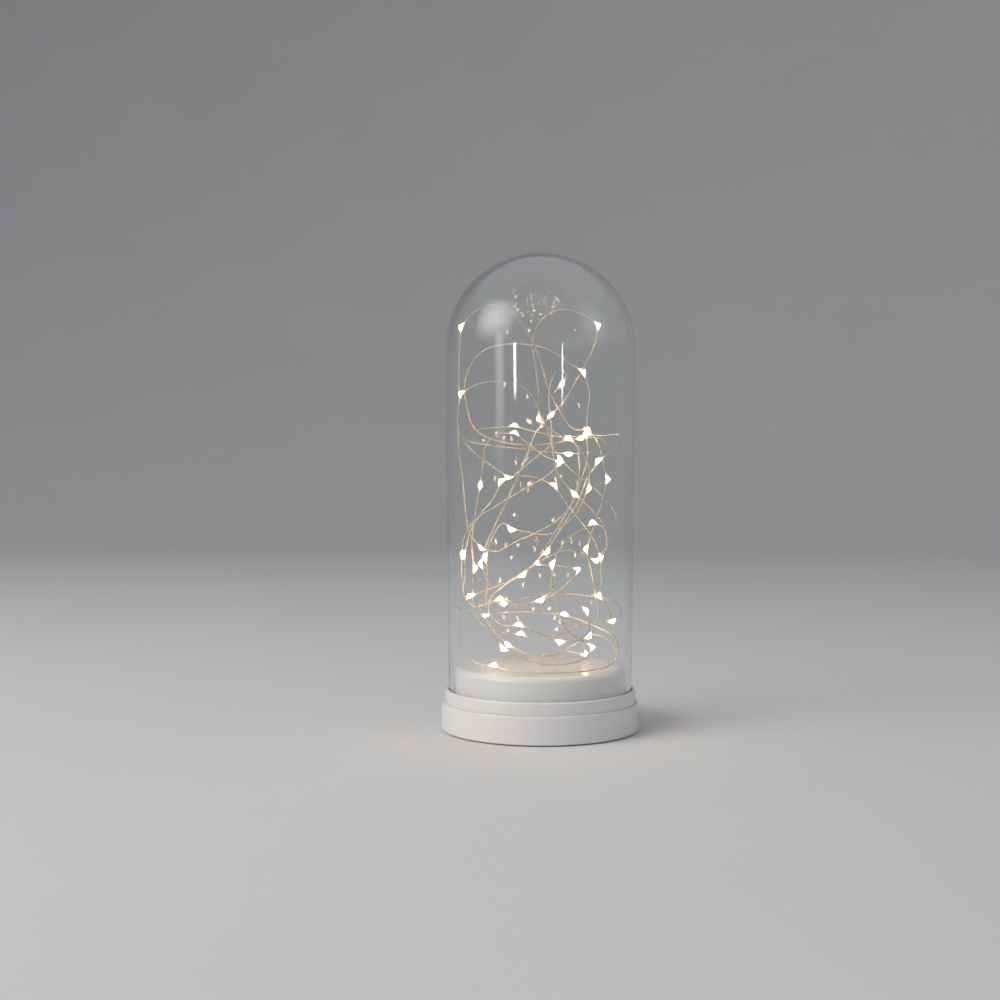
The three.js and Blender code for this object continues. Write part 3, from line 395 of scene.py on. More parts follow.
# Glass dome
# One piece of clear blown glass: a tube closed by a half sphere, its open rim fire polished
# round and a little narrower than its shoulder. It stands loose in the plinth's groove and lifts
# off by hand.
dome_height = 239.4 * mm
dome_shoulder_radius = 47.8 * mm
dome_rim_radius = 46.2 * mm
dome_rim_height = 16.9 * mm
dome_wall = 2.3 * mm
dome_lip_steps = 10
dome_crown_steps = 28
dome_turn_steps = 160
wall_guide = 0.6 * mm
on_axis = 1e-6
quarter = math.pi / 2


def arc(centre_radius, centre_height, radius, start, end, steps):
    """Points of an arc in a turned profile, as (radius, height)."""
    angles = [start + (end - start) * i / steps for i in range(steps + 1)]
    return [
        (centre_radius + radius * math.cos(a), centre_height + radius * math.sin(a)) for a in angles
    ]


def turned(profile, steps):
    """A closed profile of (radius, height) spun once round the upright axis, as a bmesh."""
    bm = bmesh.new()
    verts = [bm.verts.new((radius, 0, height)) for radius, height in profile]
    for here, there in zip(verts, verts[1:] + verts[:1]):
        if max(here.co.x, there.co.x) > on_axis:
            bm.edges.new((here, there))
    bmesh.ops.spin(
        bm,
        geom=bm.verts[:] + bm.edges[:],
        cent=(0, 0, 0),
        axis=(0, 0, 1),
        angle=2 * math.pi,
        steps=steps,
        use_merge=True,
        use_duplicate=False,
    )
    bmesh.ops.remove_doubles(bm, verts=bm.verts, dist=on_axis)
    return bm


glass, tree, principled = shader(
    "clear_glass",
    Base_Color=(0.99, 1.0, 0.995, 1),
    IOR=1.47,
    Transmission_Weight=1.0,
)
ripple = noise(tree, 26, detail=2)
ranged(tree, noise(tree, 60), 0.0, 0.035, principled.inputs["Roughness"])
bumped(tree, ripple, principled, 0.25, 0.4 * mm)
light_path = tree.nodes.new("ShaderNodeLightPath")
clear = tree.nodes.new("ShaderNodeBsdfTransparent")
clear.inputs["Color"].default_value = (0.98, 0.98, 0.975, 1)
shown = principled.outputs["BSDF"]
for ray in ("Is Diffuse Ray", "Is Shadow Ray"):
    passes = tree.nodes.new("ShaderNodeMixShader")
    tree.links.new(light_path.outputs[ray], passes.inputs["Fac"])
    tree.links.new(shown, passes.inputs[1])
    tree.links.new(clear.outputs["BSDF"], passes.inputs[2])
    shown = passes.outputs["Shader"]
tree.links.new(shown, tree.nodes["Material Output"].inputs["Surface"])

# Loops of points just inside the wall's two ends keep the smooth shading off its long faces
lip = dome_wall / 2
sphere_height = dome_height - dome_shoulder_radius
wall_low = dome_rim_height + lip + wall_guide
wall_high = sphere_height - wall_guide
dome_profile = [
    (dome_rim_radius - dome_wall, wall_low),
    *arc(dome_rim_radius - lip, dome_rim_height + lip, lip, -math.pi, 0, dome_lip_steps),
    (dome_rim_radius, wall_low),
    (dome_shoulder_radius, wall_high),
    *arc(0, sphere_height, dome_shoulder_radius, 0, quarter, dome_crown_steps),
    *arc(0, sphere_height, dome_shoulder_radius - dome_wall, quarter, 0, dome_crown_steps),
    (dome_shoulder_radius - dome_wall, wall_high),
]
glass_dome = finished("glass_cloche", turned(dome_profile, dome_turn_steps), glass)
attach(glass_dome, "dome")
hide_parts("glass_dome")

# Plinth housing
# The upper of two white gloss mouldings: a drum the lights stand on, the groove for the glass
# and the rim ring round it. Four bosses under its top take the screws from below.
fit_clearance = 0.3 * mm
ring_radius = 48.2 * mm
ring_height = 20.6 * mm
ring_bottom = 14.22 * mm
ring_foot_edge = 0.12 * mm
ring_inner = dome_rim_radius + fit_clearance
groove_floor = 16.6 * mm
groove_edge = 0.4 * mm
drum_radius = 43 * mm
drum_height = 32 * mm
drum_edge = 3 * mm
moulding_edge = 0.8 * mm
moulding_wall = 2 * mm
spigot_radius = ring_radius - moulding_wall
spigot_depth = 3 * mm
wire_hole_radius = 2.6 * mm
housing_turn_steps = 180
boss_radius = 3 * mm
boss_bottom = 12.3 * mm
pilot_radius = 1.7 * mm
pilot_top = 19.3 * mm
screw_x = 33 * mm
screw_y = 18 * mm
screw_places = [
    (screw_x, screw_y),
    (-screw_x, screw_y),
    (-screw_x, -screw_y),
    (screw_x, -screw_y),
]
overrun = 1 * mm
crease_degrees = 32

white_gloss, tree, principled = shader("white_gloss_plastic", IOR=1.46)
flow = noise(tree, 14, detail=1)
tinted(tree, flow, (0.7, 0.685, 0.678), (0.716, 0.7, 0.694), principled.inputs["Base Color"])
ranged(tree, noise(tree, 60, detail=1), 0.262, 0.272, principled.inputs["Roughness"])
bumped(tree, noise(tree, 60, detail=1), principled, 0.05, 0.02 * mm)


def rod(radius, bottom, top, x, y, segments=48):
    """An upright closed rod as a bmesh."""
    bm = bmesh.new()
    bmesh.ops.create_cone(
        bm, cap_ends=True, segments=segments, radius1=radius, radius2=radius, depth=top - bottom
    )
    bmesh.ops.translate(bm, verts=bm.verts, vec=(x, y, (top + bottom) / 2))
    return bm


def block(low, high):
    """A closed block between two corners as a bmesh."""
    bm = bmesh.new()
    bmesh.ops.create_cube(bm, size=1)
    bmesh.ops.scale(bm, verts=bm.verts, vec=[b - a for a, b in zip(low, high)])
    bmesh.ops.translate(bm, verts=bm.verts, vec=[(a + b) / 2 for a, b in zip(low, high)])
    return bm


def joined(bm, tool, operation):
    """One closed bmesh added to or cut from another."""
    pair = []
    for part in (bm, tool):
        bmesh.ops.recalc_face_normals(part, faces=part.faces)
        mesh = bpy.data.meshes.new("blank")
        part.to_mesh(mesh)
        part.free()
        pair.append(bpy.data.objects.new("blank", mesh))
        bpy.context.scene.collection.objects.link(pair[-1])
    cut = pair[0].modifiers.new("cut", "BOOLEAN")
    cut.operation = operation
    cut.solver = "EXACT"
    cut.object = pair[1]
    evaluated = pair[0].evaluated_get(bpy.context.evaluated_depsgraph_get())
    result = bmesh.new()
    result.from_mesh(evaluated.to_mesh())
    for blank in pair:
        mesh = blank.data
        bpy.data.objects.remove(blank)
        bpy.data.meshes.remove(mesh)
    return result


def crisp(piece):
    """Smooth curves, with the sharp corners left crisp."""
    piece.data.set_sharp_from_angle(angle=math.radians(crease_degrees))
    return piece


plinth_profile = [
    (spigot_radius - moulding_wall, ring_bottom - spigot_depth),
    (spigot_radius, ring_bottom - spigot_depth),
    (spigot_radius, ring_bottom),
    *arc(
        ring_radius - ring_foot_edge, ring_bottom + ring_foot_edge, ring_foot_edge, -quarter, 0, 3
    ),
    *arc(ring_radius - moulding_edge, ring_height - moulding_edge, moulding_edge, 0, quarter, 8),
    *arc(
        ring_inner + groove_edge, ring_height - groove_edge, groove_edge, quarter, 2 * quarter, 4
    ),
    (ring_inner, groove_floor),
    (drum_radius, groove_floor),
    *arc(drum_radius - drum_edge, drum_height - drum_edge, drum_edge, 0, quarter, 16),
    (wire_hole_radius, drum_height),
    (wire_hole_radius, drum_height - moulding_wall),
    (drum_radius - drum_edge, drum_height - moulding_wall),
    (drum_radius - moulding_wall, drum_height - drum_edge),
    (drum_radius - moulding_wall, groove_floor - moulding_wall),
    (spigot_radius - moulding_wall, groove_floor - moulding_wall),
]
bm = turned(plinth_profile, housing_turn_steps)
for x, y in screw_places:
    boss = rod(boss_radius, boss_bottom, drum_height - moulding_wall / 2, x, y)
    bm = joined(bm, boss, "UNION")
    pilot = rod(pilot_radius, boss_bottom - overrun, pilot_top, x, y)
    bm = joined(bm, pilot, "DIFFERENCE")
plinth = crisp(finished("plinth_moulding", bm, white_gloss))
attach(plinth, "base")
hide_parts("plinth_housing")

# Base housing
# The lower white gloss moulding: a slightly drafted skirt with a flat shoulder, and inside it
# the floor, the battery bay, four screw posts, the switch's slot and the seats of the feet.
skirt_radius = 50 * mm
skirt_top_radius = 49.5 * mm
skirt_bottom = 0.6 * mm
skirt_foot_edge = 0.5 * mm
shoulder_height = 14.2 * mm
shoulder_inner = spigot_radius + fit_clearance
floor_bottom = 2.2 * mm
floor_top = 4.2 * mm
skirt_inner = skirt_top_radius - moulding_wall
bay_half_width = 22.95 * mm
bay_half_length = 28.65 * mm
bay_top = 19.6 * mm
bay_wall = 1.8 * mm
door_half_width = 23.45 * mm
door_front = -29.15 * mm
door_gap = 0.4 * mm
pin_y = 27.65 * mm
pin_height = 3.2 * mm
pin_slot = 1.1 * mm
pin_reach = 1.6 * mm
notch_radius = 6 * mm
notch_depth = 0.9 * mm
screw_seat = 6.3 * mm
counterbore_radius = 2.9 * mm
post_radius = 4.4 * mm
post_height = 12 * mm
switch_x = 34 * mm
switch_slot_half_length = 4.5 * mm
switch_slot_half_width = 2 * mm
foot_radius = 3.5 * mm
foot_seat = 3.0 * mm
foot_distance = 42 * mm
foot_places = [
    (foot_distance * math.cos(math.radians(turn)), foot_distance * math.sin(math.radians(turn)))
    for turn in (45, 135, 225, 315)
]

skirt_profile = [
    (0, floor_bottom),
    (skirt_inner - moulding_wall, floor_bottom),
    (skirt_radius - moulding_wall, skirt_bottom),
    *arc(
        skirt_radius - skirt_foot_edge,
        skirt_bottom + skirt_foot_edge,
        skirt_foot_edge,
        -quarter,
        0,
        5,
    ),
    *arc(
        skirt_top_radius - moulding_edge,
        shoulder_height - moulding_edge,
        moulding_edge,
        0,
        quarter,
        8,
    ),
    (shoulder_inner, shoulder_height),
    (shoulder_inner, shoulder_height - moulding_wall),
    (skirt_inner, shoulder_height - moulding_wall - overrun),
    (skirt_inner, floor_top),
    (0, floor_top),
]
bm = turned(skirt_profile, housing_turn_steps)
bay_outer = (bay_half_width + bay_wall, bay_half_length + bay_wall)
bay = block((-bay_outer[0], -bay_outer[1], floor_bottom), (*bay_outer, bay_top + bay_wall))
bm = joined(bm, bay, "UNION")
for x, y in screw_places:
    bm = joined(bm, rod(post_radius, floor_bottom, post_height, x, y), "UNION")
opening = door_half_width + door_gap
# The opening is cut before the bay, so that the bay is never an enclosed hollow
cutters = [
    block(
        (-opening, door_front - door_gap, floor_bottom - overrun),
        (opening, bay_half_length + door_gap, floor_top),
    ),
    block(
        (-bay_half_width, -bay_half_length, floor_top - overrun),
        (bay_half_width, bay_half_length, bay_top),
    ),
    rod(notch_radius, floor_bottom - overrun, floor_bottom + notch_depth, 0, door_front),
    block(
        (-opening - pin_reach, pin_y - pin_slot, pin_height - pin_slot),
        (opening + pin_reach, pin_y + pin_slot, pin_height + pin_slot),
    ),
    block(
        (switch_x - switch_slot_half_width, -switch_slot_half_length, floor_bottom - overrun),
        (switch_x + switch_slot_half_width, switch_slot_half_length, floor_top + overrun),
    ),
]
for x, y in screw_places:
    cutters.append(rod(counterbore_radius, floor_bottom - overrun, screw_seat, x, y))
    cutters.append(rod(pilot_radius, floor_bottom - overrun, post_height + overrun, x, y))
for x, y in foot_places:
    cutters.append(rod(foot_radius + fit_clearance, floor_bottom - overrun, foot_seat, x, y))
for cutter in cutters:
    bm = joined(bm, cutter, "DIFFERENCE")
base = crisp(finished("base_moulding", bm, white_gloss))
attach(base, "base")
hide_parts("base_housing")

# Battery door
# A thin white moulding under the bay. It turns on two snap-in pins at its back edge, and has a
# thumb notch and five grip ribs at its front edge.
door_back = pin_y
door_edge = 0.35 * mm
door_round = 1 * mm
door_pin_radius = 0.8 * mm
door_pin_sides = 40
door_pin_reach = door_half_width + pin_reach
rib_count = 5
rib_half_width = 0.45 * mm
rib_half_length = 7 * mm
rib_rise = 0.3 * mm
rib_pitch = 2.2 * mm
rib_edge = 0.2 * mm
rib_gap = 2 * mm
rib_start = door_front + notch_radius + rib_gap


def cross_rod(radius, half_length, y, z):
    """A closed rod that lies across the light, as a bmesh."""
    bm = rod(radius, -half_length, half_length, 0, 0, door_pin_sides)
    bmesh.ops.rotate(bm, verts=bm.verts, matrix=Matrix.Rotation(quarter, 3, "Y"))
    bmesh.ops.translate(bm, verts=bm.verts, vec=(0, y, z))
    return bm


def eased(bm, edges, width, segments=3):
    """Rounds the chosen edges of a bmesh."""
    bmesh.ops.bevel(
        bm,
        geom=edges,
        offset=width,
        offset_type="OFFSET",
        affect="EDGES",
        segments=segments,
        profile=0.5,
        material=-1,
        clamp_overlap=True,
    )


bm = block((-door_half_width, door_front, floor_bottom), (door_half_width, door_back, floor_top))
front_edges = [e for e in bm.edges if all(v.co.y < 0 for v in e.verts)]
eased(bm, front_edges, door_edge)
bm = joined(bm, cross_rod(door_round, door_half_width, pin_y, pin_height), "UNION")
bm = joined(bm, cross_rod(door_pin_radius, door_pin_reach, pin_y, pin_height), "UNION")
for k in range(rib_count):
    y = rib_start + k * rib_pitch
    rib = block(
        (-rib_half_length, y - rib_half_width, floor_bottom - rib_rise),
        (rib_half_length, y + rib_half_width, floor_bottom + rib_rise),
    )
    eased(rib, rib.edges[:], rib_edge, 2)
    bm = joined(bm, rib, "UNION")
notch = rod(notch_radius, floor_bottom - overrun, floor_bottom + notch_depth, 0, door_front)
bm = joined(bm, notch, "DIFFERENCE")
door = crisp(finished("bay_door", bm, white_gloss))
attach(door, "door")
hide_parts("battery_door")

# Slide switch
# A small slide switch stands on the floor. Its black nylon slider comes down through the slot
# and has a ridged tip for a fingertip; the body, board and chip stay as the frame has them.
slider_y = -2 * mm
slider_half = 1.2 * mm
slider_tip = 0.9 * mm
slider_edge = 0.18 * mm
slider_flange_half = 2 * mm
slider_flange_bottom = 4.5 * mm
slider_flange_top = 5.7 * mm
ridge_depth = 0.25 * mm
ridge_half = 0.16 * mm
ridge_pitch = 0.65 * mm
ridge_half_length = 3 * mm

black_nylon, tree, principled = shader("black_nylon", IOR=1.53)
grain = noise(tree, 1600, detail=6)
tinted(tree, grain, (0.018, 0.018, 0.02), (0.032, 0.032, 0.034), principled.inputs["Base Color"])
ranged(tree, grain, 0.42, 0.58, principled.inputs["Roughness"])
bumped(tree, grain, principled, 0.3, 0.04 * mm)

bm = block(
    (switch_x - slider_half, slider_y - slider_half, slider_tip),
    (switch_x + slider_half, slider_y + slider_half, slider_flange_top),
)
eased(bm, bm.edges[:], slider_edge, 2)
flange = block(
    (switch_x - switch_slot_half_width, slider_y - slider_flange_half, slider_flange_bottom),
    (switch_x + switch_slot_half_width, slider_y + slider_flange_half, slider_flange_top),
)
bm = joined(bm, flange, "UNION")
for k in (-1, 0, 1):
    y = slider_y + k * ridge_pitch
    groove = block(
        (switch_x - ridge_half_length, y - ridge_half, 0),
        (switch_x + ridge_half_length, y + ridge_half, slider_tip + ridge_depth),
    )
    bm = joined(bm, groove, "DIFFERENCE")
slider = crisp(finished("switch_knob", bm, black_nylon))
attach(slider, "switch")
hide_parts("switch_slider")

board_lacquer, tree, principled = shader("board_lacquer", Coat_Weight=0.4)
weave = noise(tree, 2600)
tinted(tree, weave, (0.02, 0.12, 0.05), (0.035, 0.17, 0.075), principled.inputs["Base Color"])
ranged(tree, weave, 0.3, 0.45, principled.inputs["Roughness"])


def finish_node(name, material):
    """Gives a node of the frame its finish."""
    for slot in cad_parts[name].material_slots:
        slot.material = material


finish_node("switch_body", black_nylon)
finish_node("timer_chip", black_nylon)
finish_node("circuit_board", board_lacquer)

# Cells
# Three AA cells lie side by side, the middle one turned end for end: a steel can in a plain
# printed sleeve with a copper coloured band at the plus end, rolled over at both ends.
cell_radius = 7.25 * mm
cell_length = 49.5 * mm
cell_pitch = 15.1 * mm
cell_height = 12.05 * mm
cell_line = 27.55 * mm
cell_flips = (1, -1, 1)
cell_flat_radius = 4.6 * mm
cell_step_radius = 5 * mm
cell_step = 0.25 * mm
cell_rim_radius = 6.3 * mm
cell_rim_depth = 0.3 * mm
cell_edge = 0.55 * mm
cell_bare_radius = 6.4 * mm
button_radius = 2.75 * mm
button_edge = 0.35 * mm
button_rise = 1 * mm
spring_room = 4.6 * mm
band_share = 0.72
cell_turn_steps = 56

cell_sleeve, tree, principled = shader("cell_sleeve", Metallic=0.35, Coat_Weight=0.6)
foil = noise(tree, 700)
tinted(tree, foil, (0.03, 0.04, 0.055), (0.045, 0.058, 0.075), principled.inputs["Base Color"])
ranged(tree, foil, 0.28, 0.4, principled.inputs["Roughness"])
cell_band, tree, principled = shader("cell_band", Metallic=0.85, Coat_Weight=0.6)
foil = noise(tree, 700)
tinted(tree, foil, (0.5, 0.27, 0.13), (0.6, 0.34, 0.18), principled.inputs["Base Color"])
ranged(tree, foil, 0.25, 0.38, principled.inputs["Roughness"])
nickel, tree, principled = shader("nickel_plate", Metallic=1.0)
scuffs = noise(tree, 1200, detail=6)
tinted(tree, scuffs, (0.55, 0.55, 0.53), (0.7, 0.69, 0.66), principled.inputs["Base Color"])
ranged(tree, scuffs, 0.2, 0.38, principled.inputs["Roughness"])

cell_profile = [
    (0, 0),
    (cell_flat_radius, 0),
    (cell_step_radius, cell_step),
    (cell_rim_radius, cell_step),
    *arc(cell_radius - cell_edge, cell_edge, cell_edge, -quarter, 0, 5),
    (cell_radius, band_share * cell_length),
    *arc(cell_radius - cell_edge, cell_length - cell_edge, cell_edge, 0, quarter, 5),
    (cell_rim_radius, cell_length - cell_rim_depth),
    (button_radius, cell_length - cell_rim_depth),
    *arc(
        button_radius - button_edge,
        cell_length + button_rise - button_edge,
        button_edge,
        0,
        quarter,
        4,
    ),
    (0, cell_length + button_rise),
]
for i, flip in enumerate(cell_flips):
    bm = turned(cell_profile, cell_turn_steps)
    bmesh.ops.recalc_face_normals(bm, faces=bm.faces)
    for face in bm.faces:
        middle = face.calc_center_median()
        bare = math.hypot(middle.x, middle.y) < cell_bare_radius
        face.material_index = 2 if bare else int(middle.z > band_share * cell_length)
    bmesh.ops.rotate(bm, verts=bm.verts, matrix=Matrix.Rotation(-flip * quarter, 3, "X"))
    place = ((i - 1) * cell_pitch, flip * (spring_room - cell_line), cell_height)
    bmesh.ops.translate(bm, verts=bm.verts, vec=place)
    cell = crisp(finished(f"cell_{i + 1}", bm, cell_sleeve))
    cell.data.materials.append(cell_band)
    cell.data.materials.append(nickel)
    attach(cell, "base")
    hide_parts(f"battery_{i + 1}")

# Springs and contact plates
# Each cell's flat end meets a conical spring of nickel plated wire; the plates they press on are
# stamped strip, two single and two that bridge neighbouring cells.
spring_wire_radius = 0.3 * mm
spring_radius = 2.6 * mm
spring_taper = 1 / 3
spring_curls = 4
spring_steps_per_turn = 36
spring_start = 0.9 * mm
spring_rise = 2.8 * mm


def tube(name, points, radius, material, sides=10):
    """A round closed tube along the points, as a finished mesh piece."""
    curve = bpy.data.curves.new(name, "CURVE")
    curve.dimensions = "3D"
    curve.bevel_depth = radius
    curve.bevel_resolution = max(1, sides // 2 - 2)
    curve.use_fill_caps = True
    line = curve.splines.new("POLY")
    line.points.add(len(points) - 1)
    for point, place in zip(line.points, points):
        point.co = (*place, 1)
    source = bpy.data.objects.new("source", curve)
    bpy.context.scene.collection.objects.link(source)
    bpy.context.view_layer.update()
    mesh = bpy.data.meshes.new_from_object(
        source.evaluated_get(bpy.context.evaluated_depsgraph_get())
    )
    bpy.data.objects.remove(source)
    bm = bmesh.new()
    bm.from_mesh(mesh)
    bpy.data.meshes.remove(mesh)
    return finished(name, bm, material)


for i, flip in enumerate(cell_flips):
    coil = []
    for k in range(spring_curls * spring_steps_per_turn + 1):
        share = k / (spring_curls * spring_steps_per_turn)
        turn = 2 * math.pi * spring_curls * share
        radius = spring_radius * (1 - share * spring_taper)
        along = flip * (-cell_line + spring_start + spring_rise * share)
        place = (radius * math.cos(turn), along, cell_height + radius * math.sin(turn))
        coil.append(Vector(((i - 1) * cell_pitch, 0, 0)) + Vector(place))
    spring = tube(f"cell_spring_{i + 1}", coil, spring_wire_radius, nickel, 8)
    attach(spring, "base")
    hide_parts(f"contact_spring_{i + 1}")
for name in ("contact_negative", "contact_bridge_back", "contact_bridge_front", "contact_positive"):
    finish_node(name, nickel)

# Grommet and leads
# A soft grey grommet lines the hole in the plinth's top. Under it a lead carries the string's
# current up from the board, and two single leads join the board to the end contacts.
soft_rubber, tree, principled = shader("soft_rubber", IOR=1.52)
skin = noise(tree, 1400, detail=6)
tinted(tree, skin, (0.5, 0.495, 0.485), (0.56, 0.555, 0.545), principled.inputs["Base Color"])
ranged(tree, skin, 0.55, 0.75, principled.inputs["Roughness"])
bumped(tree, skin, principled, 0.25, 0.04 * mm)
red_sheath, tree, principled = shader("red_sheath")
skin = noise(tree, 1400)
tinted(tree, skin, (0.3, 0.012, 0.01), (0.36, 0.02, 0.016), principled.inputs["Base Color"])
ranged(tree, skin, 0.35, 0.5, principled.inputs["Roughness"])

grommet_top = drum_height + 0.7 * mm
grommet_bottom = drum_height - 2.7 * mm
grommet_neck = 2.3 * mm
grommet_bore = 1.1 * mm
grommet_lip = 0.3 * mm
grommet_flange = 4 * mm
grommet_edge = 0.4 * mm
grommet_turn_steps = 64
grommet_profile = [
    (grommet_bore, grommet_bottom),
    (grommet_neck, grommet_bottom),
    (grommet_neck, drum_height),
    (grommet_flange, drum_height),
    *arc(grommet_flange - grommet_edge, grommet_top - grommet_edge, grommet_edge, 0, quarter, 5),
    *arc(
        grommet_bore + grommet_lip, grommet_top - grommet_lip, grommet_lip, quarter, 2 * quarter, 4
    ),
]
bm = turned(grommet_profile, grommet_turn_steps)
grommet = crisp(finished("hole_grommet", bm, soft_rubber))
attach(grommet, "base")
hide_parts("wire_grommet")

string_lead_radius = 0.8 * mm
battery_lead_radius = 0.6 * mm
lead_step = 1 * mm
# Each lead: its corners in millimetres, its radius, its sheath and the record's slot
leads = {
    "string_lead": (
        [(29.67, -8, 11.7), (29.67, -8, 17.1), (25.17, -8, 23.3), (14.83, -4, 23.3),
         (0.8, 0, 24.9), (0, 0, 30), (0, 0, 32.7)],
        string_lead_radius, soft_rubber, "rubber",
    ),
    "lead_negative": (
        [(29.67, -11.2, 11.7), (29.67, -11.2, 17.05), (25.17, -13.45, 22.4),
         (-12.1, -21.55, 22.4), (-15.1, -24.55, 22.4), (-15.1, -27.55, 22.4)],
        battery_lead_radius, black_nylon, "black_plastic",
    ),
    "lead_positive": (
        [(29.67, 11.2, 11.7), (29.67, 11.2, 17.05), (25.17, 13.45, 22.4),
         (18.1, 21.55, 22.4), (15.1, 24.55, 22.4), (15.1, 27.55, 22.4)],
        battery_lead_radius, red_sheath, "red_lead",
    ),
}
for name, (corners, radius, sheath, slot) in leads.items():
    line = smooth_run([Vector(corner) * mm for corner in corners], lead_step)[0]
    lead = tube(f"{name}_sheath", line, radius, sheath)
    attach(lead, "base")
    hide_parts(name)
finish_node("capacitor", cell_sleeve)

# Screws
# Four zinc plated cross-head screws stand head down in deep counterbores and draw the two
# mouldings together.
screw_head_radius = 2.6 * mm
screw_head_bottom = 4.2 * mm
screw_head_top = 6 * mm
screw_head_edge = 0.5 * mm
screw_tip = 18 * mm
screw_shank_radius = 1.4 * mm
thread_root_radius = 1.15 * mm
thread_pitch = 0.9 * mm
thread_start = screw_head_top + 1 * mm
thread_end = screw_tip - 1.6 * mm
point_start = screw_tip - 1.4 * mm
point_radius = 0.3 * mm
screw_turn_steps = 32
cross_half = 0.35 * mm
cross_reach = 1.8 * mm
cross_depth = 0.8 * mm

zinc, tree, principled = shader("zinc_plate", Metallic=1.0)
scuffs = noise(tree, 1500, detail=6)
tinted(tree, scuffs, (0.42, 0.43, 0.44), (0.56, 0.57, 0.58), principled.inputs["Base Color"])
ranged(tree, scuffs, 0.25, 0.45, principled.inputs["Roughness"])

screw_profile = [
    (0, screw_head_bottom),
    (screw_head_radius - screw_head_edge, screw_head_bottom),
    *arc(
        screw_head_radius - screw_head_edge,
        screw_head_bottom + screw_head_edge,
        screw_head_edge,
        -quarter,
        0,
        4,
    ),
    (screw_head_radius, screw_head_top),
    (screw_shank_radius, screw_head_top),
]
height = thread_start
while height < thread_end:
    screw_profile.append((screw_shank_radius, height))
    screw_profile.append((thread_root_radius, height + thread_pitch / 2))
    height += thread_pitch
screw_profile += [(screw_shank_radius, point_start), (point_radius, screw_tip), (0, screw_tip)]
for i, (x, y) in enumerate(screw_places):
    bm = turned(screw_profile, screw_turn_steps)
    for reach in ((cross_reach, cross_half), (cross_half, cross_reach)):
        low = (-reach[0], -reach[1], screw_head_bottom - overrun)
        high = (*reach, screw_head_bottom + cross_depth)
        bm = joined(bm, block(low, high), "DIFFERENCE")
    bmesh.ops.translate(bm, verts=bm.verts, vec=(x, y, 0))
    screw = crisp(finished(f"screw_{i + 1}", bm, zinc))
    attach(screw, "base")
    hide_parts(f"housing_screw_{i + 1}")

# Feet
# Four soft discs of grey rubber are pressed into shallow seats in the floor.
foot_height = 2.9 * mm
foot_edge = 0.4 * mm
foot_turn_steps = 40
foot_profile = [
    (0, 0),
    *arc(foot_radius - foot_edge, foot_edge, foot_edge, -quarter, 0, 5),
    (foot_radius, foot_height),
    (0, foot_height),
]
for i, (x, y) in enumerate(foot_places):
    bm = turned(foot_profile, foot_turn_steps)
    bmesh.ops.translate(bm, verts=bm.verts, vec=(x, y, 0))
    foot = crisp(finished(f"rubber_foot_{i + 1}", bm, soft_rubber))
    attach(foot, "base")
    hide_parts(f"foot_{i + 1}")

# Studio
# A round pale floor that curves up into a wall on all sides, a broad soft lamp high at the left
# front, a weak one at the right, three small ones that the glass mirrors, and an even pale sky.
floor_radius = 1.6
cove_radius = 1.4
cove_steps = 16
wall_height = 2.4
studio_turn_steps = 96
bm = bmesh.new()
side = [bm.verts.new((0, 0, 0))]
for radius, height in arc(floor_radius, cove_radius, cove_radius, -quarter, 0, cove_steps):
    side.append(bm.verts.new((radius, 0, height)))
side.append(bm.verts.new((floor_radius + cove_radius, 0, wall_height)))
edges = [bm.edges.new(pair) for pair in zip(side, side[1:])]
bmesh.ops.spin(
    bm,
    geom=side + edges,
    cent=(0, 0, 0),
    axis=(0, 0, 1),
    angle=2 * math.pi,
    steps=studio_turn_steps,
    use_merge=True,
    use_duplicate=False,
)
studio_paper, tree, principled = shader("studio_paper", Specular_IOR_Level=0.0)
fibres = noise(tree, 3)
tinted(tree, fibres, (0.67, 0.67, 0.665), (0.69, 0.69, 0.685), principled.inputs["Base Color"])
ranged(tree, noise(tree, 40), 0.75, 0.85, principled.inputs["Roughness"])
studio = finished("studio_floor", bm, studio_paper)

lamp_spread = 125
lamp_target = Vector((0, 0, 0.11))
sky_colour = (0.9, 0.93, 1.0, 1)
sky_strength = 0.36


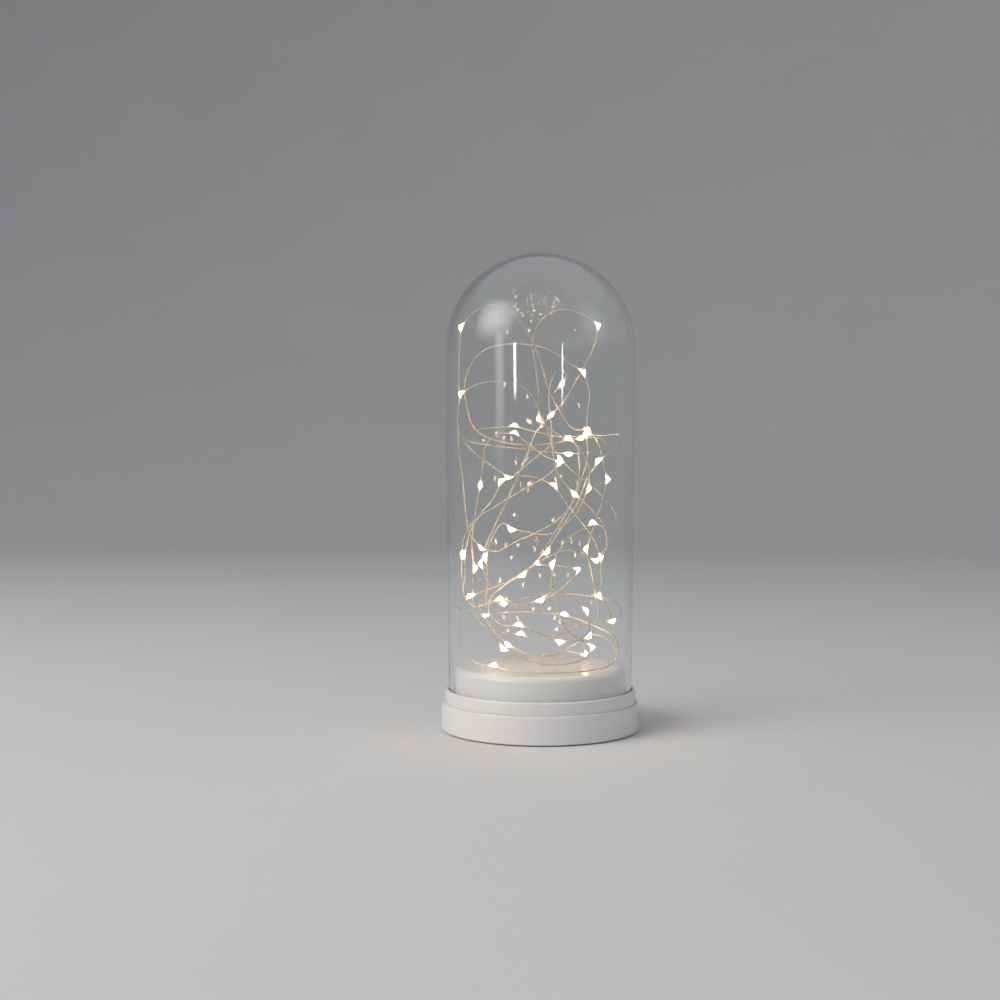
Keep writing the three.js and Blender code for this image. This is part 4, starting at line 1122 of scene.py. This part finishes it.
def soft_lamp(name, place, width, height, power, colour):
    """A soft lamp turned to the target, brightest at its middle and dark at its edges."""
    data = bpy.data.lights.new(name, "AREA")
    data.use_nodes = True
    nodes, links = data.node_tree.nodes, data.node_tree.links
    split = nodes.new("ShaderNodeSeparateXYZ")
    links.new(nodes.new("ShaderNodeNewGeometry").outputs["Parametric"], split.inputs["Vector"])
    level = nodes.new("ShaderNodeMath")
    level.operation = "MULTIPLY"
    for k, axis in enumerate("XY"):
        turn = nodes.new("ShaderNodeMath")
        turn.operation = "MULTIPLY"
        turn.inputs[1].default_value = math.pi
        wave = nodes.new("ShaderNodeMath")
        wave.operation = "SINE"
        links.new(split.outputs[axis], turn.inputs[0])
        links.new(turn.outputs["Value"], wave.inputs[0])
        links.new(wave.outputs["Value"], level.inputs[k])
    links.new(level.outputs["Value"], nodes["Emission"].inputs["Strength"])
    data.shape = "RECTANGLE"
    data.size = width
    data.size_y = height
    data.energy = power
    data.spread = math.radians(lamp_spread)
    data.color = colour
    lamp = bpy.data.objects.new(name, data)
    lamp.location = place
    aim = lamp_target - Vector(place)
    lamp.rotation_euler = aim.to_track_quat("-Z", "Y").to_euler()
    lamp.visible_camera = False
    lamp.visible_transmission = False
    bpy.context.scene.collection.objects.link(lamp)


# Each lamp: its name, place, width, height, power and colour
soft_lamp("key", (-1.5, -0.8, 1.15), 2.0, 1.6, 35, (1.0, 0.985, 0.96))
soft_lamp("fill", (1.5, -0.6, 0.9), 1.4, 1.4, 5.0, (0.95, 0.97, 1.0))
soft_lamp("left_panel", (-1.2, -1.0, 0.36), 0.4, 0.55, 1.6, (1.0, 0.99, 0.97))
soft_lamp("left_strip", (-0.67, -1.11, 0.262), 0.08, 0.11, 0.7, (1.0, 1.0, 1.0))
soft_lamp("right_strip", (0.53, -1.19, 0.248), 0.045, 0.1, 0.3, (1.0, 1.0, 1.0))
world = bpy.data.worlds.new("studio_air")
world.use_nodes = True
sky = world.node_tree.nodes["Background"]
sky.inputs["Color"].default_value = sky_colour
sky.inputs["Strength"].default_value = sky_strength
bpy.context.scene.world = world
bpy.context.scene.view_settings.view_transform = "Standard"
